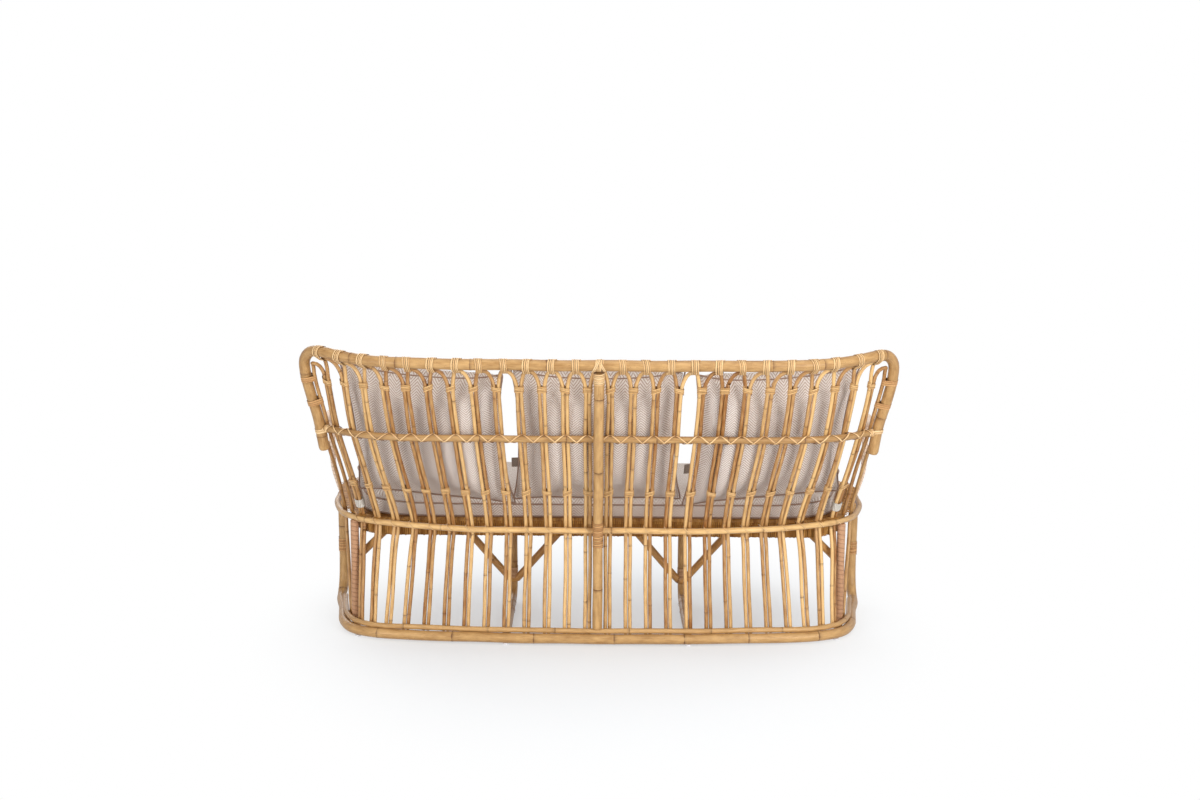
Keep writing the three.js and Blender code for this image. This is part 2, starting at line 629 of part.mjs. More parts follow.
function addSeat() {
  const seat = new THREE.Group();
  seat.position.set(0, -seatRearForward, seatTopHeight);
  seat.rotation.x = -seatTilt;
  sofa.add(seat);

  // The woven top turns down round the poles, like a shallow tray upside down
  const inset = weaveThickness;
  const [rearInside, frontInside] = [seatRearHalfWidth - inset, seatFrontHalfWidth - inset];
  const whole = slab(
    seatOutline(seatDepth, seatRearHalfWidth, seatFrontHalfWidth, seatCornerRadius), apronHeight);
  whole.translate(0, 0, -apronHeight);
  const hollow = slab(
    seatOutline(seatDepth - inset * 2, rearInside, frontInside, seatCornerRadius - inset), apronHeight);
  hollow.translate(0, -inset, -apronHeight - weaveThickness);
  addPiece("seat_weave", geometryOf(solidOf(whole).subtract(solidOf(hollow))), colour.weave, seat);

  // A pole bent round the sides and front inside that edge, and a straight one across the rear
  const halfAt = (depth) =>
    seatRearHalfWidth - seatPoleInset + (depth / seatDepth) * (seatFrontHalfWidth - seatRearHalfWidth);
  const [bendShare, cutShare, endShare] = seatBendShares;
  const bendAt = seatCornerRadius * bendShare;
  const frontY = seatDepth - seatPoleInset;
  const rearEnd = seatCornerRadius + seatFrameRadius;
  const half = [
    at(0, frontY, -seatPoleDrop),
    at(halfAt(frontY) - seatCornerRadius, frontY, -seatPoleDrop),
    at(halfAt(frontY) - bendAt * cutShare, frontY - bendAt * cutShare, -seatPoleDrop),
    at(halfAt(frontY - seatCornerRadius), frontY - seatCornerRadius, -seatPoleDrop),
    at(halfAt(rearEnd), rearEnd, -seatPoleDrop),
  ];
  const around = bent(bothSides(half));
  const frontStations = stationsAt(around, ownPlaces(around));
  addPiece("seat_front_pole", pole(frontStations, seatFrameRadius), colour.pole, seat);
  const rearHalf = halfAt(0) - seatCornerRadius * endShare;
  const across = [at(-rearHalf, seatPoleInset, -seatPoleDrop), at(rearHalf, seatPoleInset, -seatPoleDrop)];
  addPiece("seat_rear_pole", pole(across, seatFrameRadius), colour.pole, seat);

  addSeatCushion(seat);
}

// A soft form: rings of points from its lower edge to its crown, closed in the middle of both faces
function softForm(columns, rows, place) {
  const points = [];
  const faces = [];
  for (let row = 0; row < rows; row += 1) {
    for (let column = 0; column < columns; column += 1) points.push(...place(row, column));
  }
  for (let row = 0; row + 1 < rows; row += 1) {
    for (let column = 0; column < columns; column += 1) {
      const next = (column + 1) % columns;
      const a = row * columns + column;
      const b = row * columns + next;
      faces.push(a, b, b + columns, a, b + columns, a + columns);
    }
  }
  const bottom = points.length / 3;
  points.push(...place(-1, 0), ...place(rows, 0));
  for (let column = 0; column < columns; column += 1) {
    const next = (column + 1) % columns;
    faces.push(bottom, next, column);
    faces.push(bottom + 1, (rows - 1) * columns + column, (rows - 1) * columns + next);
  }
  const geometry = new THREE.BufferGeometry();
  geometry.setAttribute("position", new THREE.Float32BufferAttribute(points, 3));
  geometry.setIndex(faces);
  return geometry;
}

// Rounded square reach of an outline in a given direction, one where it is a full half width
const squareReach = (angle, power) =>
  (Math.abs(Math.cos(angle)) ** power + Math.abs(Math.sin(angle)) ** power) ** (-1 / power);

// The seat cushion: straight side bands, drawn in along each edge, with a low crown on both faces
// Each ring's reach, its height as a share of the side band, and as a share of the crown on top of that
const cushionRingShares = [
  [0.3, 0, 0], [0.72, 0, 0], [0.95, 0, 0], [1, 0.1, 0], [1.004, 0.5, 0],
  [1, 0.9, 0], [0.95, 0.98, 0], [0.72, 1, 0.4], [0.3, 1, 0.84],
];
function addSeatCushion(group) {
  const middle = seatCushionDepth / 2;
  const place = (row, column) => {
    if (row < 0) return [0, -seatCushionInset - middle, cushionLift];
    if (row === cushionRingShares.length) {
      return [0, -seatCushionInset - middle, cushionLift + seatCushionEdge + seatCushionCrown];
    }
    const [reach, rise, swell] = cushionRingShares[row];
    const angle = ((column + 0.5) / cushionColumns) * 2 * Math.PI;
    const full = squareReach(angle, cushionSquareness) * reach;
    const depth = Math.sin(angle) * full;
    const drawn = 1 - (seatCushionDrawIn / middle) * Math.sin(angle * 2) ** 2;
    const across = Math.cos(angle) * full * drawn;
    const forward = seatCushionInset + middle * (1 - depth * drawn);
    const flare = (seatFrontHalfWidth - seatRearHalfWidth) * cushionFlareShare;
    const half = seatRearHalfWidth - seatCushionInset + ((forward - seatCushionInset) / seatDepth) * flare;
    const height = rise * seatCushionEdge + swell * seatCushionCrown;
    return [half * across, -forward, cushionLift + height];
  };
  addPiece("seat_cushion", softForm(cushionColumns, cushionRingShares.length, place), colour.fabric, group);
}

// The back cushions lean on the canes, whose inner face is given here by height
const pillowLean = Math.atan2(topRailBack, topRailHeight - seatRailHeight)
  + THREE.MathUtils.degToRad(pillowExtraLeanDegrees);
const caneFaces = [
  [seatRailHeight, -seatOffset - caneRadius / Math.cos(caneLean)],
  [midRailHeight, midRailBack - midOffset - caneRadius / Math.cos(caneLean)],
  [topRailHeight - archReach * Math.cos(archTuck),
    topRailBack - archReach * Math.sin(archTuck) - caneRadius],
];
function caneFaceBack(height) {
  const [low, high] = height < midRailHeight ? caneFaces.slice(0, 2) : caneFaces.slice(1);
  return THREE.MathUtils.mapLinear(height, low[0], high[0], low[1], high[1]);
}
const pillowMiddleHeight = seatTopHeight + cushionLift + seatCushionEdge + pillowSeatRise
  + (pillowHeight / 2) * Math.cos(pillowLean);

// How thick a back cushion is at a share of the way from its middle to its seam
const pillowBulge = (reach) => Math.sqrt(Math.max(0, 1 - reach ** 2.4));

// As far back as the canes let its rear face go
function restedBack() {
  const rearFace = [];
  for (let reach = -1; reach <= 1; reach += 1 / pillowRings) {
    const up = (reach * pillowHeight) / 2;
    const thick = (pillowBulge(Math.abs(reach)) * pillowThickness) / 2;
    const height = pillowMiddleHeight + up * Math.cos(pillowLean) - thick * Math.sin(pillowLean);
    const back = up * Math.sin(pillowLean) + thick * Math.cos(pillowLean);
    rearFace.push(caneFaceBack(height) - back);
  }
  return Math.min(...rearFace) - pillowCaneGap;
}
const pillowBack = restedBack();

// A back cushion: two bulging faces that meet in a seam, its edges drawn in between the corners
function addBackCushion(name, centreAcross, back, yawDegrees) {
  const rings = pillowRings;
  const place = (row, column) => {
    if (row < 0 || row === rings * 2) {
      const side = row < 0 ? -1 : 1;
      return [0, 0, (side * pillowThickness) / 2];
    }
    const front = row >= rings;
    const step = front ? rings * 2 - 1 - row : row;
    const reach = Math.sin(((step + 1) / rings) * (Math.PI / 2)) ** pillowRingShare;
    const angle = (column / pillowColumns) * 2 * Math.PI;
    const full = squareReach(angle, pillowSquareness) * reach;
    const u = Math.cos(angle) * full;
    const v = Math.sin(angle) * full;
    const bulge = pillowBulge(reach) * (1 - pillowCornerShare * (u * v) ** 2);
    const thick = Math.max(pillowSeam / 2, (bulge * pillowThickness) / 2);
    const across = (u * pillowWidth) / 2 - u * pillowDrawIn * (1 - v * v);
    const up = (v * pillowHeight) / 2 - v * pillowDrawIn * (1 - u * u);
    return [across, up, front ? thick : -thick];
  };
  const piece = addPiece(name, softForm(pillowColumns, rings * 2, place), colour.fabric);
  piece.rotation.set(Math.PI / 2 - pillowLean, 0, THREE.MathUtils.degToRad(yawDegrees), "ZXY");
  piece.rotateZ(-THREE.MathUtils.degToRad(yawDegrees * pillowRollShare));
  piece.position.set(centreAcross, back, pillowMiddleHeight);
}

function addGlides() {
  for (const side of [-1, 1]) {
    const name = side < 0 ? "left" : "right";
    addGlide(`glide_rear_outer_${name}`, floorPole.point(side * glideAlong));
    addGlide(`glide_rear_inner_${name}`, floorPole.point(side * runnerAcross));
    addGlide(`glide_front_${name}`, at(side * kneeAcross, kneeStart, 0));
  }
}

function addGlide(name, spot) {
  const tall = glideHeight - touchGap;
  const glide = new THREE.CylinderGeometry(glideRadius, glideRadius, tall, 12);
  glide.rotateX(Math.PI / 2);
  const piece = addPiece(name, glide, colour.glide);
  piece.position.set(spot.x, spot.y, tall / 2);
}

addRails();
addCanes();
addCentrePost();
for (const [side, name] of [[-1, "left"], [1, "right"]]) {
  addLegs(side, name);
  addArm(side, name);
}
addSeat();
const pillowSideBack = pillowBack - pillowSideForward;
addBackCushion("back_cushion_left", -pillowSideCentre, pillowSideBack, pillowYawDegrees);
addBackCushion("back_cushion_middle", pillowMiddleCentre, pillowBack, 0);
addBackCushion("back_cushion_right", pillowSideCentre, pillowSideBack, -pillowYawDegrees);
addGlides();

// The origin is in the middle of the sofa's footprint, on the floor
const extent = new THREE.Box3().setFromObject(sofa);
const middle = extent.getCenter(new THREE.Vector3());
sofa.position.set(-middle.x, -middle.y, -extent.min.z);
const placed = new THREE.Group();
placed.add(sofa);

export default placed;
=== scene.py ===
"""Rattan garden sofa, seen from behind: thick bent poles, a fence of thin arched canes
lashed to them with peel, a woven seat, one long seat cushion and loose back cushions.
Metres, +X across the sofa, +Y towards its back, +Z up."""
import json
import math
import random

import bmesh
import bpy
import numpy as np
from mathutils import Euler, Matrix, Vector

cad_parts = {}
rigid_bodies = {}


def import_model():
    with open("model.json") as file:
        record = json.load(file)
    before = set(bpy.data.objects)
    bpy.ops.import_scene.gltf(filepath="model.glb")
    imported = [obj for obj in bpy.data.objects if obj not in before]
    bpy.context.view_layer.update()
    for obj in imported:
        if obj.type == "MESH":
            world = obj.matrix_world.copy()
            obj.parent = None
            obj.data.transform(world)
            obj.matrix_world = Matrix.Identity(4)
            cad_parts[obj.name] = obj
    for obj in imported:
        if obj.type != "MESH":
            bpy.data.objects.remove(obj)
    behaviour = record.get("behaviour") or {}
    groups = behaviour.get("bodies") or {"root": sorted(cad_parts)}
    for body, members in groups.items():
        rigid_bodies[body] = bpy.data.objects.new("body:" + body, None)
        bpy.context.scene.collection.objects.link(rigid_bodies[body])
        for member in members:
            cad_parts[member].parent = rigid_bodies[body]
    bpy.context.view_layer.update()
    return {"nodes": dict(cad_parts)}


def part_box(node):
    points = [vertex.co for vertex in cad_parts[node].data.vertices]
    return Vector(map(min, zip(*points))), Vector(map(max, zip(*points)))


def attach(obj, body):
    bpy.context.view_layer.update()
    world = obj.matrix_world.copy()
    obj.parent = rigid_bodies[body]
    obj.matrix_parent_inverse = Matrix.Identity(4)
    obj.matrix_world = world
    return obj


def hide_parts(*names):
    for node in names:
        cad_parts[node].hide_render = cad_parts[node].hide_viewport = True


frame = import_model()
nodes = frame["nodes"]
scene_objects = bpy.context.scene.collection.objects

# Camera: stands behind the sofa at a grown person's height, a little above the back,
# and looks slightly down at it. It is held a hair out of level.
rear_pole_y = 0.168187
camera_distance, camera_height = 4.745, 1.562
tilt_down, roll = 9.5, 0.45
camera_data = bpy.data.cameras.new("rear_view")
camera_data.sensor_width = 36.0
camera_data.lens = 47.97
camera_data.shift_x = 1.0 / 1200.0
camera = bpy.data.objects.new("rear_view", camera_data)
camera.location = (0.0, rear_pole_y + camera_distance, camera_height)
level_aim = Euler((math.radians(90.0 - tilt_down), 0.0, math.pi)).to_matrix()
camera.rotation_euler = (level_aim @ Matrix.Rotation(math.radians(roll), 3, "Z")).to_euler()
scene_objects.link(camera)
bpy.context.scene.camera = camera
bpy.context.scene.view_settings.view_transform = "Standard"

# Studio: one broad lamp on the camera's right and a weaker one on its left, a soft one
# above the sofa and one in front of it, and an even white surround.
for name, place, size, energy in (
    ("broad_lamp", (-2.5, 3.9, 1.6), 2.0, 108.0),
    ("fill_lamp", (2.8, 3.8, 0.9), 2.0, 64.0),
    ("top_lamp", (-0.5, 0.9, 3.2), 2.2, 30.0),
    ("front_lamp", (1.4, -4.2, 2.4), 2.4, 60.0),
):
    lamp_data = bpy.data.lights.new(name, "AREA")
    lamp_data.size = size
    lamp_data.energy = energy
    lamp = bpy.data.objects.new(name, lamp_data)
    lamp.location = place
    aim = Vector((0.0, 0.0, 0.4)) - Vector(place)
    lamp.rotation_euler = aim.to_track_quat("-Z", "Y").to_euler()
    scene_objects.link(lamp)


def plug(tree, node, sockets):
    """Gives each named or numbered socket of a node its value, or joins it to an output."""
    for label, value in sockets.items():
        value = getattr(value, "socket", value)
        if isinstance(value, bpy.types.NodeSocket):
            tree.links.new(value, node.inputs[label])
        else:
            node.inputs[label].default_value = value


def add_node(tree, kind, sockets=None, **settings):
    """Adds a node with its settings and its sockets filled, and returns its outputs."""
    node = tree.nodes.new(kind)
    for label, value in settings.items():
        setattr(node, label, value)
    plug(tree, node, sockets or {})
    return node.outputs


class Wire:
    """A shader value that sums can be written with: each step adds a Math node."""

    def __init__(self, tree, socket):
        self.tree = tree
        self.socket = socket

    def to(self, operation, *others):
        return maths(self.tree, operation, self, *others)

    def __add__(self, other):
        return self.to("ADD", other)

    def __radd__(self, other):
        return maths(self.tree, "ADD", other, self)

    def __sub__(self, other):
        return self.to("SUBTRACT", other)

    def __rsub__(self, other):
        return maths(self.tree, "SUBTRACT", other, self)

    def __mul__(self, other):
        return self.to("MULTIPLY", other)

    def __truediv__(self, other):
        return self.to("DIVIDE", other)

    def clamped(self):
        """The same value, held between 0 and 1."""
        self.socket.node.use_clamp = True
        return self


def maths(tree, operation, *values):
    """One Math node, as a value."""
    return Wire(tree, add_node(tree, "ShaderNodeMath", dict(enumerate(values)), operation=operation)[0])


def shows_white(tree):
    """1 where the surround is looked at, straight on, in a gloss or through glass."""
    seen = add_node(tree, "ShaderNodeLightPath")
    straight = Wire(tree, seen["Is Camera Ray"])
    return straight.to("MAXIMUM", seen["Is Glossy Ray"]).to("MAXIMUM", seen["Is Transmission Ray"])


white = (1.0, 1.0, 1.0, 1.0)
world = bpy.data.worlds.new("white_surround")
bpy.context.scene.world = world
world.use_nodes = True
level = add_node(world.node_tree, "ShaderNodeMapRange",
                 {"Value": shows_white(world.node_tree), "To Min": 0.56, "To Max": 1.0})
plug(world.node_tree, world.node_tree.nodes["Background"], {"Color": white, "Strength": level["Result"]})

# Floor: a plain pale floor that takes the soft shadow. Away from the sofa it passes into
# the white surround.


def srgb(red, green, blue):
    """A colour as it is read off a paint card, 0 to 255, as a linear colour."""
    linear = []
    for value in (red, green, blue):
        share = value / 255.0
        linear.append(share / 12.92 if share <= 0.04045 else ((share + 0.055) / 1.055) ** 2.4)
    return (*linear, 1.0)


def new_material(name):
    """A material with its node tree and its shader."""
    material = bpy.data.materials.new(name)
    material.use_nodes = True
    return material, material.node_tree, material.node_tree.nodes["Principled BSDF"]


floor_mesh = bpy.data.meshes.new("pale_floor")
floor_mesh.from_pydata([(-9, -14, 0), (9, -14, 0), (9, 7, 0), (-9, 7, 0)], [], [(0, 1, 2, 3)])
floor = bpy.data.objects.new("pale_floor", floor_mesh)
scene_objects.link(floor)
floor_paint, tree, shader = new_material("pale_floor")
plug(tree, shader, {"Base Color": srgb(238, 243, 248), "Roughness": 0.85, "Specular IOR Level": 0.15})
floor_place = add_node(tree, "ShaderNodeTexCoord")["Object"]
reach = add_node(tree, "ShaderNodeVectorMath", {0: floor_place, 1: (0.95, 0.85, 0.0)}, operation="MULTIPLY")
away = add_node(tree, "ShaderNodeVectorMath", {0: reach["Vector"]}, operation="LENGTH")["Value"]
fade = add_node(tree, "ShaderNodeMapRange", {"Value": away, "From Min": 0.45, "From Max": 1.1, "To Min": 0.4},
                interpolation_type="SMOOTHSTEP")["Result"]
glow = add_node(tree, "ShaderNodeEmission", {"Color": white, "Strength": 1.0})[0]
mixed = add_node(tree, "ShaderNodeMixShader",
                 {0: Wire(tree, fade) * shows_white(tree), 1: shader.outputs[0], 2: glow})[0]
plug(tree, tree.nodes["Material Output"], {"Surface": mixed})
floor_mesh.materials.append(floor_paint)

# Rattan skin: peeled rattan with a satin varnish. Straw yellow to orange brown, with
# streaks along the pole, soft blotches, fine specks and a brown scar at each knuckle.


def finish_group(name, colours, numbers=()):
    """A shader group that gives a colour, a roughness and a height, and its own inputs."""
    tree = bpy.data.node_groups.new(name, "ShaderNodeTree")
    for label in colours + numbers:
        kind = "NodeSocketColor" if label in colours else "NodeSocketFloat"
        tree.interface.new_socket(label, in_out="INPUT", socket_type=kind)
    for label, kind in (("Colour", "Color"), ("Roughness", "Float"), ("Height", "Float")):
        tree.interface.new_socket(label, in_out="OUTPUT", socket_type="NodeSocket" + kind)
    given = add_node(tree, "NodeGroupInput")
    return tree, {label: Wire(tree, given[label]) for label in colours + numbers}


def colour_mix(tree, share, first, second):
    sockets = {0: share, 6: first, 7: second}
    return Wire(tree, add_node(tree, "ShaderNodeMix", sockets, data_type="RGBA")[2])


def noise(tree, place, scale, detail, roughness):
    sockets = {"Vector": place, "Scale": scale, "Detail": detail, "Roughness": roughness}
    return Wire(tree, add_node(tree, "ShaderNodeTexNoise", sockets)["Fac"])


def attribute(tree, name):
    return Wire(tree, add_node(tree, "ShaderNodeAttribute", attribute_name=name)["Fac"])


def combined(tree, *parts):
    return add_node(tree, "ShaderNodeCombineXYZ", dict(enumerate(parts)))[0]


def map_parts(tree, name):
    """The two values of a map: metres along, and turns round or metres across."""
    place = add_node(tree, "ShaderNodeUVMap", uv_map=name)["UV"]
    parts = add_node(tree, "ShaderNodeSeparateXYZ", {0: place})
    return Wire(tree, parts["X"]), Wire(tree, parts["Y"])


def round_run(tree, along_scale, around_scale):
    """A seamless place on a pole's skin, from its map of metres along and turns round."""
    along, around = map_parts(tree, "run")
    turn = around * (2 * math.pi)
    return combined(tree, along * along_scale + attribute(tree, "own") * 37.0,
                    turn.to("COSINE") * around_scale, turn.to("SINE") * around_scale)


skin, given = finish_group("rattan_skin", ("Pale", "Deep", "Scar"), ("Streaks",))
fibre = noise(skin, round_run(skin, 7.0, 5.0), 2.4, 3.0, 0.6)
fine_fibre = noise(skin, round_run(skin, 30.0, 16.0), 2.2, 2.0, 0.6)
blotch = noise(skin, round_run(skin, 26.0, 1.1), 1.0, 3.0, 0.55)
speck = noise(skin, round_run(skin, 330.0, 5.0), 1.0, 1.0, 0.5)
streaks = (fibre - 0.5) * given["Streaks"] + (fine_fibre - 0.5) * 0.5
depth = (attribute(skin, "tone") + streaks + (blotch - 0.5) * 1.3).clamped()
body = colour_mix(skin, depth, given["Pale"], given["Deep"])
# Round a knuckle: a brown bruise below it and the scar itself, of uneven width
bruised = colour_mix(skin, attribute(skin, "bruise") * (blotch * 0.7), body, given["Scar"])
line_width = ((blotch - 0.3) * 7.0).to("MAXIMUM", 0.4)
line_place = attribute(skin, "knuckle") + (fibre - 0.5) * 1.6
scar = (1.2 - line_place.to("MAXIMUM", 0.0) / line_width).clamped()
scarred = colour_mix(skin, scar * (attribute(skin, "scars") * 0.9), bruised, given["Scar"])
speckled = colour_mix(skin, speck.to("GREATER_THAN", 0.72) * 0.45, scarred, given["Scar"])
add_node(skin, "NodeGroupOutput", {
    "Colour": speckled,
    "Roughness": 0.34 + fine_fibre * 0.22 + scar * 0.3,
    "Height": fine_fibre * 0.5 + scar * -0.8,
})


def finish_with(name, group, bump, coat=0.0, sheen=0.0, rim=0.0, gloss=0.3, **values):
    """A material whose colour, roughness and bump come from one of the finish groups.
    A rim paints shade on the sides that turn away from the eye, darkening them to brown."""
    material, tree, shader = new_material(name)
    made = add_node(tree, "ShaderNodeGroup", values, node_tree=group)
    colour = made["Colour"]
    if rim:
        # Painted shade: the colour darkens to brown on the sides that turn away from the eye, by the rim's
        # share.
        facing = Wire(tree, add_node(tree, "ShaderNodeLayerWeight", {"Blend": 0.3})["Facing"])
        colour = colour_mix(tree, facing.to("POWER", 1.4) * rim, colour, srgb(98, 48, 14))
    raised = add_node(tree, "ShaderNodeBump", {"Strength": 1.0, "Distance": bump, "Height": made["Height"]})
    plug(tree, shader, {
        "Base Color": colour, "Roughness": made["Roughness"], "Normal": raised["Normal"],
        "Specular IOR Level": gloss, "Coat Weight": coat, "Coat Roughness": 0.3, "Sheen Weight": sheen,
    })
    return material


# rim is the share of painted shade on each skin's turned away sides.
pole_skin = finish_with(
    "pole_skin", skin, 0.0006, coat=0.2, rim=0.6,
    Pale=srgb(204, 162, 106), Deep=srgb(136, 92, 40), Scar=srgb(84, 44, 22), Streaks=1.2)
cane_skin = finish_with(
    "cane_skin", skin, 0.0004, coat=0.25, rim=1.0,
    Pale=srgb(230, 188, 126), Deep=srgb(142, 86, 28), Scar=srgb(96, 54, 26), Streaks=1.2)
brace_skin = finish_with(
    "brace_skin", skin, 0.0006, coat=0.2, rim=0.4,
    Pale=srgb(206, 154, 88), Deep=srgb(146, 92, 38), Scar=srgb(76, 40, 22), Streaks=0.8)

# Poles and canes: round rattan bent to shape, thicker by a hair at its knuckles. Each
# takes its line from the frame's own solid and gets smooth round sides.
# The radius of each kind of pole, in millimetres
pole_radii = {
    "top_rail": 16.5, "floor_pole": 15.5, "toe_rail": 8.5, "mid_rail": 10.5, "seat_rail": 9.5,
    "centre_post": 15.0, "front_leg": 11.5, "front_brace": 12.0, "corner_leg": 13.0, "corner_brace": 11.5,
    "arm": 13.0, "seat_front_pole": 14.0, "seat_rear_pole": 14.0,
    "arch_cane": 5.9, "end_cane": 5.9, "arm_post": 6.5,
}
eight_sided = ("top_rail", "floor_pole", "centre_post", "corner_leg", "arm")
skins = {"seat_rail": cane_skin, "front_brace": brace_skin, "corner_brace": brace_skin,
         "seat_front_pole": brace_skin, "seat_rear_pole": brace_skin}
# Where the knuckles of the three poles that show best are, along X or up Z
seen_rings = {
    "top_rail": (0, (0.586, 0.371, 0.152, -0.065, -0.285, -0.5)),
    "floor_pole": (0, (0.683, 0.446, 0.1975, -0.054, -0.2685, -0.469, -0.687)),
    "centre_post": (2, (0.8, 0.57, 0.375, 0.183)),
}


def unit(vector):
    return vector / max(np.linalg.norm(vector), 1e-12)


def middle_line(name, radius, sides):
    """The middles of a bar's rings, in order, found by walking its mesh from one end."""
    mesh = nodes[name].data
    corners = np.array([vertex.co[:] for vertex in mesh.vertices])
    merged, which = np.unique(np.round(corners / 1e-5).astype(int), axis=0, return_inverse=True)
    which = which.ravel()
    places = np.zeros((len(merged), 3))
    places[which] = corners
    faces = [[int(which[index]) for index in polygon.vertices] for polygon in mesh.polygons]
    facing = [unit(np.cross(places[b] - places[a], places[c] - places[a])) for a, b, c in faces]
    beside = [set() for _ in places]
    at_edge = {}
    for number, face in enumerate(faces):
        for step in range(3):
            beside[face[step]].update(face)
            at_edge.setdefault(frozenset((face[step], face[(step + 1) % 3])), []).append(number)

    # A cap is a flat group of faces with one corner for each side of the bar
    cap = None
    seen = set()
    for number in range(len(faces)):
        if number in seen:
            continue
        group, waiting = {number}, [number]
        while waiting:
            face = faces[waiting.pop()]
            for step in range(3):
                for other in at_edge[frozenset((face[step], face[(step + 1) % 3]))]:
                    if other not in group and np.dot(facing[other], facing[number]) > 0.99995:
                        group.add(other)
                        waiting.append(other)
        seen |= group
        around = sorted({index for other in group for index in faces[other]})
        if len(around) == sides and len(group) == sides - 2:
            centre = places[around].mean(axis=0)
            if max(np.linalg.norm(places[index] - centre) for index in around) < 1.5 * radius:
                cap = around
                break
    walked = set(cap)
    rings = []
    while cap:
        rings.append(places[cap].mean(axis=0))
        cap = sorted({other for index in cap for other in beside[index]} - walked)
        walked |= set(cap)
    return np.array(rings)


def even_stops(points):
    """Metres run at each point of a line."""
    return np.concatenate([[0.0], np.cumsum(np.linalg.norm(np.diff(points, axis=0), axis=1))])


def at_runs(points, stops, runs):
    return np.stack([np.interp(runs, stops, points[:, axis]) for axis in range(points.shape[1])], axis=1)


def smooth_line(points, spacing):
    """Points at an even spacing on a smooth line through the given ones. Its bends are
    weighed by the square root of the distance from point to point, so it never loops."""
    points = np.asarray(points)
    ends = np.vstack([2 * points[0] - points[1], points, 2 * points[-1] - points[-2]])

    def between(t, low, high, first, second):
        return (high - t) / (high - low) * first + (t - low) / (high - low) * second

    fine = []
    for index in range(1, len(ends) - 2):
        a, b, c, d = ends[index - 1:index + 3]
        t1 = np.linalg.norm(b - a) ** 0.5
        t2 = t1 + np.linalg.norm(c - b) ** 0.5
        t3 = t2 + np.linalg.norm(d - c) ** 0.5
        for t in np.linspace(t1, t2, 24, endpoint=False):
            bc = between(t, t1, t2, b, c)
            abc = between(t, 0.0, t2, between(t, 0.0, t1, a, b), bc)
            bcd = between(t, t1, t3, bc, between(t, t2, t3, c, d))
            fine.append(between(t, t1, t2, abc, bcd))
    fine = np.array(fine + [points[-1]])
    run = even_stops(fine)
    stops = np.linspace(0.0, run[-1], max(2, int(round(run[-1] / spacing)) + 1))
    return at_runs(fine, run, stops), stops


def carried_frames(points):
    """Directions across a line in two ways, carried along it without twisting."""
    along = np.gradient(points, axis=0)
    along /= np.linalg.norm(along, axis=1)[:, None]
    first = np.cross(along[0], (0.0, 0.0, 1.0) if abs(along[0][2]) < 0.9 else (1.0, 0.0, 0.0))
    across = [first / np.linalg.norm(first)]
    for heading in along[1:]:
        carried = across[-1] - heading * np.dot(across[-1], heading)
        across.append(carried / np.linalg.norm(carried))
    across = np.array(across)
    return across, np.cross(along, across)


def swept(along, across, ends="flat", outward=False):
    """Faces and map of rows of points, each row closed on itself. Along and across are the
    map's lines, so across has one more than a row has points. The ends are "flat" caps,
    "fan" caps round two more points, or "joined" to each other."""
    count = len(along) - (ends == "joined")
    columns = len(across) - 1
    corners = ((0, 0), (0, 1), (1, 1), (1, 0)) if outward else ((0, 0), (1, 0), (1, 1), (0, 1))
    faces, maps = [], []
    for row in range(len(along) - 1):
        for column in range(columns):
            faces.append(tuple((row + r) % count * columns + (column + c) % columns for r, c in corners))
            maps += [(along[row + r], across[column + c]) for r, c in corners]
    tip = count * columns
    if ends == "flat":
        faces += [tuple(range(columns)), tuple(range(tip - 1, tip - columns - 1, -1))]
        maps += [(0.0, 0.0)] * (2 * columns)
    if ends == "fan":
        for column in range(columns):
            after = (column + 1) % columns
            faces += [(tip, after, column), (tip + 1, tip - columns + column, tip - columns + after)]
            low, high, last = across[column], across[column + 1], along[-1]
            maps += [(0.0, low), (0.0, high), (0.0, low), (last, low), (last, low), (last, high)]
    return faces, maps


def new_mesh(name, vertices, faces, maps=None, map_name="run", turn_faces=True, **marks):
    """A closed mesh with its map and the marks on its points, its faces turned outwards."""
    mesh = bpy.data.meshes.new(name)
    mesh.from_pydata(np.asarray(vertices).tolist(), [], faces)
    if maps:
        layer = mesh.uv_layers.new(name=map_name)
        layer.data.foreach_set("uv", np.array(maps, dtype=np.float32).ravel())
    for label, values in marks.items():
        layer = mesh.attributes.new(label, "FLOAT", "POINT")
        layer.data.foreach_set("value", np.full(len(mesh.vertices), values, dtype=np.float32))
    if turn_faces:
        solid = bmesh.new()
        solid.from_mesh(mesh)
        bmesh.ops.recalc_face_normals(solid, faces=solid.faces)
        solid.to_mesh(mesh)
        solid.free()
    return mesh


